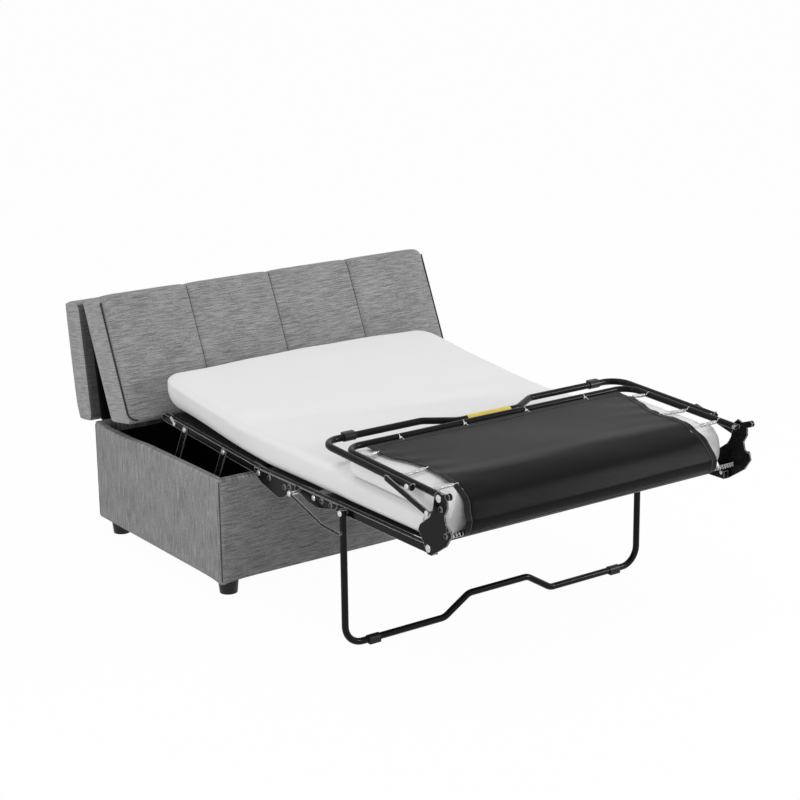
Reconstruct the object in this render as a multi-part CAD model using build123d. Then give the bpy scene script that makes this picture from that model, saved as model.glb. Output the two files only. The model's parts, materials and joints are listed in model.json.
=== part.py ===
from build123d import *
from math import atan2, cos, degrees, hypot, radians, sin
import os

# Storage sofa bed with its bed pulled out and the foot section still folded over.
# X runs across the bed, -Y points to the foot end, Z is up. All lengths in mm.
# Places are given from the floor below the middle of the storage box. The whole
# part is then moved along Y so that its origin is the bottom centre of its bounds.

# Storage box
box_width = 1200.0
box_depth = 756.0
box_top = 350.0
box_foot_height = 53.0
box_board = 18.0
box_floor_board = 12.0
cover_skin = 8.0
lining_skin = 2.0
box_corner_radius = 14.0
foot_inset = 52.0
foot_top_radius = 32.0
foot_bottom_radius = 26.0

# Lid, two upholstered panels that stand as the backrest
lid_rear_lean = 8.0
lid_rear_length = 375.0
lid_rear_thickness = 110.0
lid_front_lean = 24.0
lid_front_length = 406.0
lid_front_thickness = 146.0
lid_front_drop = 13.0
lid_front_back_edge = 384.0
lid_board = 15.0
lid_corner_radius = 34.0
lid_face_radius = 22.0
lid_gap = 1.0
seat_gap = 0.2
channel_count = 4
channel_depth = 7.0
lid_hinge_inset = 220.0
lid_hinge_width = 60.0
lid_hinge_barrel = 6.0
lid_hinge_pin_radius = 4.0
lid_hinge_leaf = 2.0
lid_hinge_leaf_length = 44.0

# Bed frame rails and their folds; each "back" is a distance from the back of the box
rail_inset = 100.0
rail_width = 16.0
rail_height = 22.0
rail_top = 396.0
head_end_back = 288.0
head_hinge_back = 833.0
body_hinge_back = 1113.0
body_end_back = 1640.0
head_rise = 36.0
hinge_gap = 2.0
plate = 4.0
pin_radius = 5.0
pin_clearance = 0.05
rivet_head_radius = 8.0
rivet_head = 3.0
crossbar_radius = 9.0
crossbar_setback = 26.0
hinge_plate_length = 60.0
body_crossbar_back = 1583.0

# Strap bracket under the first fold and gusset plate over the second
strap_start_back = 808.0
strap_end_back = 1018.0
strap_drop = 37.0
small_rivet_radius = 3.5
small_rivet_head = 7.0
gusset_length = 95.0
gusset_height = 36.0
# Lower edge of the strap bracket: share of its reach from the hinge, share of its drop
strap_shape_shares = (
    (-0.06, 0.1), (0.08, 0.45), (0.54, 1.0), (0.68, 0.8), (0.85, 0.2), (1.0, 0.0),
)
strap_rivet_shares = ((0.3, 0.0), (0.72, 0.35), (0.86, 0.0))
# Outline of the gusset plate: share of its length from the hinge, share of its height
gusset_shares = (
    (0.74, 0.0), (0.74, 0.45), (0.3, 0.85), (-0.1, 1.0), (-0.45, 0.85),
    (-1.0, 0.55), (-1.16, 0.3), (-1.16, 0.0),
)
gusset_rivet_shares = (0.4, 0.85)

# Lift arms that carry the head section
arm_lean = 28.0
arm_length = 200.0
arm_width = 24.0
arm_front_margin = 116.0
arm_rear_back = 418.0
arm_mount_width = 70.0
arm_mount_margin = 34.0

# Latch levers at the rear end of the rails
latch_back = 356.0
latch_pin_radius = 3.0
latch_plate = 3.0
latch_length = 26.0
latch_width = 9.0
latch_angle = 32.0

# Front leg, foot leg and their braces
leg_offset = 20.0
leg_tube_radius = 9.5
leg_bend_radius = 55.0
leg_pivot_back = 1263.0
leg_cap_inset = 90.0
leg_cap_length = 36.0
leg_cap_wall = 2.5
leg_hump_height = 52.0
leg_hump_half = 105.0
leg_hump_slope_half = 190.0
leg_hump_radius = 40.0
leg_brace_drop = 55.0
brace_offset = 33.0
brace_plate = 3.0
brace_width = 9.0
brace_pivot_back = 1028.0
brace_elbow_back = 1184.0
brace_elbow_drop = 51.0

# Fold bracket and foot section
fold_low_back = 1628.0
fold_low_z = 390.0
fold_high_back = 1672.0
fold_high_z = 531.0
foot_tilt = 2.6
foot_bar_setback = 23.0
foot_frame_radius = 9.0
foot_frame_inset = 2.0
foot_leg_pivot_back = 1563.0
foot_leg_length = 400.0
foot_frame_bend_radius = 52.0
foot_link_reach = 80.0
foot_link_pin_back = 1654.0
foot_link_pin_z = 494.0
foot_link_width = 17.0
knob_radius = 9.0
knob_length = 6.0
fold_rivet_head = 10.0
# Places on the fold bracket: shares of its pin distance, up the bracket and forward of it
fold_shape_shares = (
    (-0.12, 0.0), (-0.08, 0.11), (0.3, 0.42), (0.55, 0.5), (0.64, 0.44), (0.66, 0.3),
    (0.78, 0.22), (0.95, 0.26), (1.1, 0.2), (1.12, -0.06), (1.0, -0.13), (0.7, -0.1),
    (0.55, -0.14), (0.28, -0.34), (0.16, -0.36), (0.02, -0.16),
)
fold_rivet_shares = ((0.85, 0.1), (0.62, 0.38), (0.48, 0.36))
knob_shares = (1.18, 0.24)
spring_shares = (0.26, 0.15)
spring_coil_radius = 5.0
spring_wire = 2.0
spring_turns = 8
spring_samples = 40
band_length = 150.0
band_skin = 0.6

# Deck cloth and its springs
deck_cloth = 2.0
deck_side_inset = 70.0
deck_end_inset = 18.0
deck_inset = 20.0
deck_spring_radius = 4.5
deck_springs_end = 4
deck_fold_lap = 8.0
# Places of the side springs: shares of the deck's run from the fold
deck_spring_shares = (0.77, 0.25, -0.12)
# Profile of the cloth drum round the fold, as shares of the bracket's pin distance
drum_shares = ((0.226, 0.156), (0.427, 0.186), (0.546, 0.114), (0.763, -0.167))
drum_middle_shares = (0.5, -0.3)

# Mattress
mattress_side_gap = 16.0
mattress_thickness = 88.0
mattress_rear_back = 248.0
mattress_rear_thickness = 107.0
mattress_corner_radius = 120.0
mattress_edge_radius = 26.0
mattress_knee_lap = 100.0
mattress_fold_back = 1574.0
mattress_foot_lap = 10.0
mattress_step = 27.0
mattress_bulge = 82.0
bulge_top_share = 0.35
bulge_drop_share = 0.25
soft_gap = 0.5

overrun = 5.0

# Places that follow from the sizes above
half_width = box_width / 2
half_depth = box_depth / 2
rail_x = half_width - rail_inset
leg_x = rail_x + leg_offset
leg_cap_x = leg_x - leg_cap_inset
brace_x = rail_x + brace_offset
deck_side_x = rail_x - deck_side_inset
mattress_half = rail_x - mattress_side_gap
lid_hinge_x = half_width - lid_hinge_inset
head_end_y = half_depth - head_end_back
head_hinge_y = half_depth - head_hinge_back
body_hinge_y = half_depth - body_hinge_back
body_end_y = half_depth - body_end_back
body_crossbar_y = half_depth - body_crossbar_back
strap_start_y = half_depth - strap_start_back
strap_end_y = half_depth - strap_end_back
arm_front_y = arm_front_margin - half_depth
arm_rear_y = half_depth - arm_rear_back
latch_y = half_depth - latch_back
leg_pivot_y = half_depth - leg_pivot_back
brace_pivot_y = half_depth - brace_pivot_back
brace_elbow_y = half_depth - brace_elbow_back
fold_low_y = half_depth - fold_low_back
fold_high_y = half_depth - fold_high_back
foot_leg_pivot_y = half_depth - foot_leg_pivot_back
foot_link_pin_y = half_depth - foot_link_pin_back
mattress_rear_y = half_depth - mattress_rear_back
mattress_fold_y = half_depth - mattress_fold_back
foot_frame_end_y = foot_leg_pivot_y + foot_leg_length - leg_hump_height - foot_bar_setback
deck_end_y = foot_frame_end_y - deck_end_inset
mattress_foot_end_y = foot_frame_end_y + mattress_foot_lap
rail_z = rail_top - rail_height / 2
rail_inner = rail_x - rail_width / 2
rail_outer = rail_x + rail_width / 2
inner_x = half_width - cover_skin - box_board - lining_skin
inner_y = half_depth - cover_skin - box_board - lining_skin
head_hinge = (head_hinge_y, rail_z)
body_hinge = (body_hinge_y, rail_z)
leg_pivot = (leg_pivot_y, rail_z)
fold_low = (fold_low_y, fold_low_z)
fold_high = (fold_high_y, fold_high_z)
lid_hinge = (half_depth, box_top + lid_hinge_barrel + seat_gap)


def along(point, angle, distance):
    """A point in the side view, reached at an angle in degrees from +Y towards +Z."""
    return (
        point[0] + distance * cos(radians(angle)),
        point[1] + distance * sin(radians(angle)),
    )


def heading(start, end):
    """Angle in degrees from +Y towards +Z of the line between two side-view points."""
    return degrees(atan2(end[1] - start[1], end[0] - start[0]))


def span(start, end):
    return hypot(end[0] - start[0], end[1] - start[1])


def side_slab(profile, x_low, x_high):
    """A flat side-view profile made solid between two X values."""
    return extrude(Plane.YZ.offset(x_low) * profile, amount=x_high - x_low)


def outline(points):
    return make_face(Polyline(*points, close=True))


def bar_profile(start, end, height, round_start=False, round_end=False):
    """A straight bar in the side view, with an end rounded about its pivot where asked."""
    middle = ((start[0] + end[0]) / 2, (start[1] + end[1]) / 2)
    shape = Pos(*middle) * Rot(0, 0, heading(start, end)) * Rectangle(span(start, end), height)
    if round_start:
        shape += Pos(*start) * Circle(height / 2)
    if round_end:
        shape += Pos(*end) * Circle(height / 2)
    return shape


def holes(centres, radius):
    return [Pos(*centre) * Circle(radius) for centre in centres]


def pin(centre, radius, x_low, x_high):
    """A round pin along X at a side-view point."""
    return side_slab(Pos(*centre) * Circle(radius), x_low, x_high)


def both_sides(solids):
    """The given left-hand solids, written for +X, and their mirror images."""
    found = []
    for solid in solids:
        found += [solid, mirror(solid, about=Plane.YZ)]
    return found


def cross_rod(centre, radius, half_length):
    return pin(centre, radius, -half_length, half_length)


def round_box(low, high, radius):
    """An upright box between two corners, with its four standing edges rounded."""
    size = [b - a for a, b in zip(low, high)]
    middle = [(a + b) / 2 for a, b in zip(low, high)]
    face = Pos(middle[0], middle[1], low[2]) * RectangleRounded(size[0], size[1], radius)
    return extrude(face, amount=size[2])


def tube_along(points, bend_radius, radius):
    path = FilletPolyline(*points, radius=bend_radius)
    return sweep(Plane(path @ 0, z_dir=path % 0) * Circle(radius), path=path)


def turned(solids, centre, angle):
    """Solids turned about an X axis through a side-view point."""
    axis = Axis((0, centre[0], centre[1]), (1, 0, 0))
    return [solid.rotate(axis, angle) for solid in solids]


def rail_point(y):
    """Centre of the head rail at a place along the bed; it rises towards the head end."""
    return (y, rail_z + head_rise * (y - head_hinge_y) / (head_end_y - head_hinge_y))


def fold_point(along_share, forward_share):
    """A point given as shares of the pin distance, up the bracket and forward of it."""
    base = along(fold_low, fold_rise, fold_length * along_share)
    return along(base, fold_rise + 90, fold_length * forward_share)


# Pivots and angles of the lid
rear_up = 90.0 - lid_rear_lean
lid_apex = along(lid_hinge, rear_up, lid_rear_length)
front_down = -90.0 - lid_front_lean

# Pivots and angles of the bed frame
head_end = rail_point(head_end_y)
head_slope = heading(head_hinge, head_end)
rail_half = rail_height / 2
rail_cut = rail_half + hinge_gap
arm_down = -90.0 + arm_lean
arm_front_top = rail_point(arm_front_y)
arm_rear_top = rail_point(arm_rear_y)
arm_front_low = along(arm_front_top, arm_down, arm_length)
arm_rear_low = along(arm_rear_top, arm_down, arm_length)
latch_pivot = rail_point(latch_y)
brace_pivot = (brace_pivot_y, rail_z - rail_height / 4)
leg_length = rail_z - leg_tube_radius - leg_cap_wall
running_hole = pin_radius + pin_clearance
outer_plate_x = rail_outer + plate
inner_plate_x = rail_inner - plate
deck_half = inner_plate_x - soft_gap
deck_lift = crossbar_radius + deck_cloth / 2 + soft_gap / 2
drum_start = (fold_low_y + deck_fold_lap, rail_z + deck_lift)

# Pivots and angles of the fold bracket and the foot section
fold_rise = heading(fold_low, fold_high)
fold_length = span(fold_low, fold_high)
foot_link_pin = (foot_link_pin_y, foot_link_pin_z)
foot_leg_pivot = (foot_leg_pivot_y, fold_high_z)
foot_frame_x = rail_x - foot_frame_inset
foot_frame_inner = foot_frame_x - foot_frame_radius
foot_frame_outer = foot_frame_x + foot_frame_radius

nodes = {}


# Storage box
def box_panels():
    low_z = box_foot_height + box_floor_board
    board_x = half_width - cover_skin
    board_y = half_depth - cover_skin
    side = Pos(board_x - box_board / 2, 0, (low_z + box_top) / 2) * Box(
        box_board, 2 * board_y, box_top - low_z
    )
    cross = Pos(0, board_y - box_board / 2, (low_z + box_top) / 2) * Box(
        2 * (board_x - box_board), box_board, box_top - low_z
    )
    nodes["box_panels_side"] = both_sides([side])
    nodes["box_panel_rear"] = [cross]
    nodes["box_panel_front"] = [mirror(cross, about=Plane.XZ)]
    nodes["box_floor"] = [
        Pos(0, 0, box_foot_height + box_floor_board / 2)
        * Box(2 * board_x, 2 * board_y, box_floor_board)
    ]


def box_cover():
    """Upholstery round the four sides, with a padded roll along the top edge."""
    outer = round_box(
        (-half_width, -half_depth, box_foot_height),
        (half_width, half_depth, box_top),
        box_corner_radius,
    )
    hollow = Pos(0, 0, (box_foot_height + box_top) / 2) * Box(
        box_width - 2 * cover_skin,
        box_depth - 2 * cover_skin,
        box_top - box_foot_height + 2 * overrun,
    )
    top_edges = outer.edges().group_by(Axis.Z)[-1]
    cover = fillet(top_edges, cover_skin / 2) - hollow
    nodes["box_cover"] = [cover]


def box_lining():
    low_z = box_foot_height + box_floor_board
    height = box_top - low_z
    outer_x = inner_x + lining_skin
    outer_y = inner_y + lining_skin
    outer = Box(2 * outer_x, 2 * outer_y, height)
    hollow = Box(2 * inner_x, 2 * inner_y, height + 2 * overrun)
    nodes["box_lining"] = [Pos(0, 0, low_z + height / 2) * (outer - hollow)]


def box_feet():
    foot = Solid.make_cone(foot_bottom_radius, foot_top_radius, box_foot_height)
    x = half_width - foot_inset
    y = half_depth - foot_inset
    nodes["box_feet"] = [Pos(sx * x, sy * y, 0) * foot for sx in (-1, 1) for sy in (-1, 1)]


# Lid
def lid_frame(centre, angle):
    """Side-view frame of a lid panel: x runs along the panel, -y through its thickness."""
    return Pos(*centre) * Rot(0, 0, angle)


def lid_rear():
    frame = lid_frame(lid_hinge, rear_up)
    board_face = Pos(lid_rear_length / 2, -lid_board / 2) * Rectangle(
        lid_rear_length - 2 * lid_gap, lid_board - lid_gap
    )
    board = side_slab(frame * board_face, -half_width + lid_corner_radius,
                      half_width - lid_corner_radius)
    depth = lid_rear_thickness - lid_board
    pad_face = Pos(lid_rear_length / 2, -lid_board - depth / 2) * RectangleRounded(
        lid_rear_length, depth, lid_corner_radius
    )
    pad_face += Pos(lid_rear_length / 2, -lid_board - lid_corner_radius / 2) * Rectangle(
        lid_rear_length, lid_corner_radius
    )
    pad = side_slab(frame * pad_face, -half_width, half_width)
    board = hinge_pockets(board, lid_hinge, rear_up, False)
    nodes["lid_rear_board"] = [hinge_pockets(board, lid_apex, rear_up + 180, True)]
    nodes["lid_rear_cushion"] = [pad]


def lid_front():
    """The front backrest panel, whose face has four sewn channels."""
    frame = lid_frame(lid_apex, front_down)
    board_face = Pos(lid_front_back_edge / 2, -lid_board / 2 - lid_gap) * Rectangle(
        lid_front_back_edge - 2 * lid_gap, lid_board - lid_gap
    )
    board = side_slab(frame * board_face, -half_width + lid_corner_radius,
                      half_width - lid_corner_radius)
    top = lid_front_drop
    end = lid_front_drop + lid_front_length
    face = lid_front_thickness
    pad_points = [
        (lid_gap, -lid_board - lid_gap),
        (top, -face),
        (end, -face),
        (lid_front_back_edge, -lid_board - lid_gap),
    ]
    pad_face = outline(pad_points)
    pad_face = fillet(pad_face.vertices().sort_by(Axis.Y)[:2], lid_face_radius)
    pad = side_slab(frame * pad_face, -half_width, half_width)
    pad = pad & channel_block()
    nodes["lid_front_board"] = [hinge_pockets(board, lid_apex, front_down, False)]
    nodes["lid_front_cushion"] = [pad]


def channel_block():
    """A block along the front panel whose outer face swells between the sewn channels."""
    step = box_width / channel_count
    crest = lid_front_thickness
    seam = crest - channel_depth
    curves = [
        ThreePointArc((low, seam), (low + step / 2, crest), (low + step, seam))
        for low in (index * step - half_width for index in range(channel_count))
    ]
    corners = [(half_width, seam), (half_width, -overrun), (-half_width, -overrun),
               (-half_width, seam)]
    curves.append(Polyline(*corners))
    face = make_face(curves)
    block = extrude(face, amount=lid_front_length + 2 * lid_front_drop + overrun)
    # local x stays across the bed, local y is the panel's thickness, local z its length
    down = (0, cos(radians(front_down)), sin(radians(front_down)))
    origin = (0, lid_apex[0], lid_apex[1])
    return Plane(origin=origin, x_dir=(1, 0, 0), z_dir=down) * block


def leaf_profile(centre, angle, mirrored):
    """A hinge leaf let into a board; mirrored where the board lies on the other side."""
    side = 1 if mirrored else -1
    leaf = Pos(lid_hinge_leaf_length / 2, side * lid_hinge_leaf / 2) * Rectangle(
        lid_hinge_leaf_length, lid_hinge_leaf
    )
    return Pos(*centre) * Rot(0, 0, angle) * leaf


def hinge_stretches():
    """X stretches of a hinge's two outer knuckles and of the one between them."""
    half = lid_hinge_width / 2
    sixth = lid_hinge_width / 6
    outer = [(-half, -sixth), (sixth, half)]
    inner = [(pin_clearance - sixth, sixth - pin_clearance)]
    return outer, inner


def hinge_pockets(board, centre, angle, mirrored):
    """Cut the leaf pocket and the barrel's room into a lid board, both sides."""
    outer, inner = hinge_stretches()
    stretches = outer if mirrored else inner
    room = pin(centre, lid_hinge_barrel + lid_gap, lid_hinge_x - lid_hinge_width / 2 - lid_gap,
               lid_hinge_x + lid_hinge_width / 2 + lid_gap)
    for cutter in both_sides([room]):
        board -= cutter
    for low, high in stretches:
        slab = side_slab(leaf_profile(centre, angle, mirrored), lid_hinge_x + low,
                         lid_hinge_x + high)
        for cutter in both_sides([slab]):
            board -= cutter
    return board


def hinge_half(centre, leaf, radius, stretches):
    ring = Pos(*centre) * Circle(lid_hinge_barrel) + leaf - Pos(*centre) * Circle(radius)
    return [side_slab(ring, lid_hinge_x + low, lid_hinge_x + high) for low, high in stretches]


def lid_hinges():
    """Butt hinges on the box edge and where the panels meet, each with its pin."""
    outer, inner = hinge_stretches()
    half = lid_hinge_width / 2
    box_leaf = Pos(lid_hinge[0] - lid_hinge_leaf_length / 2, box_top + lid_hinge_leaf / 2)
    box_leaf = box_leaf * Rectangle(lid_hinge_leaf_length, lid_hinge_leaf)
    running = lid_hinge_pin_radius + pin_clearance
    for name, centre, fixed_leaf, free_leaf in (
        ("lid_low_hinge", lid_hinge, box_leaf, leaf_profile(lid_hinge, rear_up, False)),
        ("lid_mid_hinge", lid_apex, leaf_profile(lid_apex, rear_up + 180, True),
         leaf_profile(lid_apex, front_down, False)),
    ):
        fixed = hinge_half(centre, fixed_leaf, lid_hinge_pin_radius, outer)
        fixed.append(pin(centre, lid_hinge_pin_radius, lid_hinge_x - half, lid_hinge_x + half))
        free = hinge_half(centre, free_leaf, running, inner)
        nodes[name + "_pin_side"] = both_sides(fixed)
        nodes[name + "_free_side"] = both_sides(free)


# Bed frame
def rail(profile):
    return side_slab(profile, rail_inner, rail_outer)


def rivet(centre, radius, x_low, x_high, head_radius=rivet_head_radius):
    """A pin with a domed head on its outer end."""
    head = pin(centre, head_radius, x_high, x_high + rivet_head)
    head = chamfer(head.faces().sort_by(Axis.X)[-1].edges(), rivet_head / 3)
    return pin(centre, radius, x_low, x_high) + head


def fused_plate(profile, rivets):
    """A plate on the outside of a rail, with its fixed rivets as part of it."""
    solid = side_slab(profile, rail_outer, outer_plate_x)
    for one in rivets:
        solid += one
    return solid


def cross_bar(centre):
    """A round cross tube between the two rails."""
    return [cross_rod(centre, crossbar_radius, rail_inner)]


def head_section():
    start = along(head_hinge, head_slope, rail_cut)
    shape = bar_profile(start, head_end, rail_height, round_end=True)
    for hole in holes([arm_front_top, arm_rear_top, latch_pivot], pin_radius):
        shape -= hole
    nodes["head_rails"] = both_sides([rail(shape)])
    hinge_shape = bar_profile(head_hinge, along(head_hinge, head_slope, hinge_plate_length),
                              rail_height, round_start=True, round_end=True)
    hinge_shape -= Pos(*head_hinge) * Circle(pin_radius)
    nodes["head_hinge_plates"] = both_sides([side_slab(hinge_shape, inner_plate_x, rail_inner)])
    rivets = [rivet(head_hinge, pin_radius, inner_plate_x, outer_plate_x)]
    rivets += [rivet(top, pin_radius, rail_inner, outer_plate_x)
               for top in (arm_front_top, arm_rear_top)]
    rivets.append(rivet(latch_pivot, latch_pin_radius, rail_inner, rail_outer + latch_plate,
                        latch_pin_radius * 2))
    nodes["head_rivets"] = both_sides(rivets)
    front_bar = hinge_plate_length + rail_half + crossbar_radius + hinge_gap
    nodes["head_crossbars"] = cross_bar(rail_point(head_end_y - crossbar_setback)) + cross_bar(
        rail_point(head_hinge_y + front_bar)
    )


def lift_arms():
    """Two pairs of parallel arms; they stand on pins in plates on the box sides."""
    for name, top, low in (
        ("lift_arms_front", arm_front_top, arm_front_low),
        ("lift_arms_rear", arm_rear_top, arm_rear_low),
    ):
        shape = bar_profile(top, low, arm_width, round_start=True, round_end=True)
        shape -= Pos(*top) * Circle(running_hole)
        shape -= Pos(*low) * Circle(running_hole)
        nodes[name] = both_sides([side_slab(shape, rail_outer, outer_plate_x)])
    mount_low = (arm_front_low[0] - arm_mount_margin, arm_front_low[1] - arm_mount_margin)
    mount_high = (arm_rear_low[0] + arm_mount_margin, arm_rear_low[1] + arm_mount_margin)
    middle = ((mount_low[0] + mount_high[0]) / 2, (mount_low[1] + mount_high[1]) / 2)
    face = Pos(*middle) * RectangleRounded(
        mount_high[0] - mount_low[0], mount_high[1] - mount_low[1], arm_mount_margin / 2
    )
    for low in (arm_front_low, arm_rear_low):
        face -= Pos(*low) * Circle(pin_radius)
    nodes["arm_mount_plates"] = both_sides([side_slab(face, inner_x - plate, inner_x)])
    stubs = []
    for low in (arm_front_low, arm_rear_low):
        stub = pin(low, pin_radius, rail_outer - rivet_head, inner_x)
        stub += pin(low, rivet_head_radius, outer_plate_x + pin_clearance, inner_x - plate)
        stub += pin(low, rivet_head_radius, rail_outer - rivet_head, rail_outer - pin_clearance)
        stubs.append(stub)
    nodes["arm_mount_pins"] = both_sides(stubs)


def latches():
    """Spring latch levers that hold the head section up, one each side."""
    tip = along(latch_pivot, latch_angle, latch_length)
    shape = bar_profile(latch_pivot, tip, latch_width, round_start=True, round_end=True)
    shape -= Pos(*latch_pivot) * Circle(latch_pin_radius + pin_clearance)
    lever = side_slab(shape, rail_outer, rail_outer + latch_plate)
    nodes["latch_lever_right"] = [lever]
    nodes["latch_lever_left"] = [mirror(lever, about=Plane.YZ)]


def link_section():
    """The short middle section, with the strap brackets that hang outside its rails."""
    shape = bar_profile(head_hinge, (body_hinge_y + rail_cut, rail_z), rail_height,
                        round_start=True)
    shape -= Pos(*head_hinge) * Circle(running_hole)
    shape -= Pos(*brace_pivot) * Circle(pin_radius)
    nodes["link_rails"] = both_sides([rail(shape)])
    reach = head_hinge_y - strap_end_y
    low = rail_z - rail_half
    points = [(head_hinge_y - reach * share, low - strap_drop * drop)
              for share, drop in strap_shape_shares]
    points = [(strap_start_y, rail_top)] + points + [(strap_end_y, rail_top)]
    strap = outline(points) - Pos(*head_hinge) * Circle(running_hole)
    strap_rivets = [
        rivet((head_hinge_y - reach * share, rail_z - offset * rail_height), small_rivet_radius,
              rail_outer, outer_plate_x, small_rivet_head)
        for share, offset in strap_rivet_shares
    ]
    nodes["strap_brackets"] = both_sides([fused_plate(strap, strap_rivets)])
    hinge_shape = bar_profile(body_hinge, (body_hinge_y + hinge_plate_length, rail_z),
                              rail_height, round_start=True, round_end=True)
    hinge_shape -= Pos(*body_hinge) * Circle(pin_radius)
    nodes["link_hinge_plates"] = both_sides([side_slab(hinge_shape, inner_plate_x, rail_inner)])
    nodes["link_rivets"] = both_sides([
        rivet(body_hinge, pin_radius, inner_plate_x, outer_plate_x),
        rivet(brace_pivot, pin_radius, rail_inner, brace_x + brace_plate),
    ])
    nodes["link_crossbar"] = cross_bar(((head_hinge_y + body_hinge_y) / 2, rail_z))


def body_section():
    shape = bar_profile(body_hinge, (body_end_y, rail_z), rail_height, round_start=True)
    shape -= Pos(*body_hinge) * Circle(running_hole)
    for centre in (leg_pivot, fold_low):
        shape -= Pos(*centre) * Circle(pin_radius)
    nodes["body_rails"] = both_sides([rail(shape)])
    points = [
        (body_hinge_y + gusset_length * along_share, rail_top - gusset_height * down_share)
        for along_share, down_share in gusset_shares
    ]
    gusset = outline(points) - Pos(*body_hinge) * Circle(running_hole)
    gusset_rivets = [
        rivet((body_hinge_y - gusset_length * share, rail_z), small_rivet_radius,
              rail_outer, outer_plate_x, small_rivet_head)
        for share in gusset_rivet_shares
    ]
    nodes["gusset_plates"] = both_sides([fused_plate(gusset, gusset_rivets)])
    nodes["body_rivets"] = both_sides([
        rivet(leg_pivot, pin_radius, rail_inner, leg_x + leg_tube_radius),
        rivet(fold_low, pin_radius, rail_inner, outer_plate_x, fold_rivet_head),
    ])
    nodes["body_crossbars"] = cross_bar(
        (body_hinge_y - rail_cut - crossbar_setback, rail_z)
    ) + cross_bar((body_crossbar_y, rail_z))


def u_leg(pivot, angle, length, tube_end):
    """A U-shaped leg: two arms from the pivots to a bar that humps up in its middle."""
    reach = along(pivot, angle, length)
    hump = along(pivot, angle, length - leg_hump_height)
    points = [
        (leg_x, *tube_end),
        (leg_x, *reach),
        (leg_hump_slope_half, *reach),
        (leg_hump_half, *hump),
        (-leg_hump_half, *hump),
        (-leg_hump_slope_half, *reach),
        (-leg_x, *reach),
        (-leg_x, *tube_end),
    ]
    radii = [leg_bend_radius] + [leg_hump_radius] * 4 + [leg_bend_radius]
    path = FilletPolyline(*points, radius=radii)
    tube = sweep(Plane(path @ 0, z_dir=path % 0) * Circle(leg_tube_radius), path=path)
    for sign in (-1, 1):
        tube -= pin(pivot, running_hole, sign * leg_x - leg_tube_radius - overrun,
                    sign * leg_x + leg_tube_radius + overrun)
    return tube


def with_link_pins(leg, joint):
    """A leg with the pin stubs on its arms where its links reach it."""
    for stub in both_sides([pin(joint, pin_radius, leg_x, brace_x - pin_clearance)]):
        leg += stub
    return leg


def leg_caps(pivot, angle, length):
    """Moulded feet clipped round the bar of a U leg, flat on the side that meets the floor."""
    centre = along(pivot, angle, length)
    outer = leg_tube_radius + leg_cap_wall
    side = 2 * outer
    shape = Pos(*centre) * Rot(0, 0, angle) * (
        Circle(outer) + Pos(outer / 2, 0) * Rectangle(outer, side)
    )
    shape -= Pos(*centre) * Circle(leg_tube_radius)
    return both_sides([side_slab(shape, leg_cap_x - leg_cap_length / 2,
                                 leg_cap_x + leg_cap_length / 2)])


def front_leg():
    top = along(leg_pivot, 90, leg_tube_radius)
    joint = along(leg_pivot, -90, leg_brace_drop)
    leg = u_leg(leg_pivot, -90, leg_length, top)
    nodes["front_leg"] = [with_link_pins(leg, joint)]
    nodes["front_leg_caps"] = leg_caps(leg_pivot, -90, leg_length)


def leg_braces():
    """Cranked flat bars that fold the front leg when the bed folds."""
    joint = along(leg_pivot, -90, leg_brace_drop)
    elbow = (brace_elbow_y, rail_z - brace_elbow_drop)
    shape = bar_profile(brace_pivot, elbow, brace_width, round_start=True, round_end=True)
    shape += bar_profile(elbow, joint, brace_width, round_end=True)
    shape += Pos(*brace_pivot) * Circle(brace_width)
    shape -= Pos(*brace_pivot) * Circle(running_hole)
    nodes["leg_braces"] = both_sides([side_slab(shape, brace_x, brace_x + brace_plate)])


# Fold bracket and foot section


def fold_bracket():
    shape = outline([fold_point(*share) for share in fold_shape_shares])
    shape -= Pos(*fold_low) * Circle(running_hole)
    shape -= Pos(*fold_high) * Circle(running_hole)
    knob = fold_point(*knob_shares)
    arm = bar_profile(fold_high, knob, knob_radius * 2, round_end=True)
    shape += arm - Pos(*fold_high) * Circle(pin_radius * 3)
    fixed = [pin(knob, knob_radius, outer_plate_x, outer_plate_x + knob_length)]
    fixed += [rivet(fold_point(*share), small_rivet_radius, rail_outer, outer_plate_x,
                    small_rivet_head) for share in fold_rivet_shares]
    nodes["fold_brackets"] = both_sides([fused_plate(shape, fixed)])
    nodes["fold_bracket_rivets"] = both_sides([
        rivet(foot_link_pin, small_rivet_radius, outer_plate_x, brace_x + brace_plate,
              small_rivet_head),
        rivet(fold_high, pin_radius, foot_frame_inner, outer_plate_x,
              fold_rivet_head),
    ])
    nodes["fold_springs"] = both_sides([fold_spring()])


def helix_wire(point, x_low, x_high, radius, wire, turns):
    """A spring wound along X through a side-view point."""
    length = x_high - x_low
    helix = Helix(pitch=length / turns, height=length, radius=radius)
    coil = sweep(Plane(helix @ 0, z_dir=helix % 0) * Circle(wire / 2), path=helix)
    return Plane(origin=(x_low, *point), z_dir=(1, 0, 0)) * coil


def fold_spring():
    """A spring that holds the edge of the cloth drum out towards the fold bracket."""
    low = deck_side_x + seat_gap + spring_wire / 2
    high = rail_outer - seat_gap - spring_wire / 2
    print("least gap of the fold spring to itself", round(coil_gap(high - low), 3))
    return helix_wire(fold_point(*spring_shares), low, high, spring_coil_radius, spring_wire,
                      spring_turns)


def coil_gap(length):
    """Least clear gap between two turns of the fold spring, measured on its points."""
    pitch = length / spring_turns
    turn = [
        (spring_coil_radius * cos(radians(360 * i / spring_samples)),
         spring_coil_radius * sin(radians(360 * i / spring_samples)),
         pitch * i / spring_samples)
        for i in range(2 * spring_samples)
    ]
    near = min(
        hypot(a[0] - b[0], a[1] - b[1], a[2] - b[2])
        for i, a in enumerate(turn) for b in turn[i + spring_samples // 2:]
    )
    return near - spring_wire


def foot_turned(solids):
    """Foot section solids are drawn level and then tilted about the bracket's upper pin."""
    return turned(solids, fold_high, foot_tilt)


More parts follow.
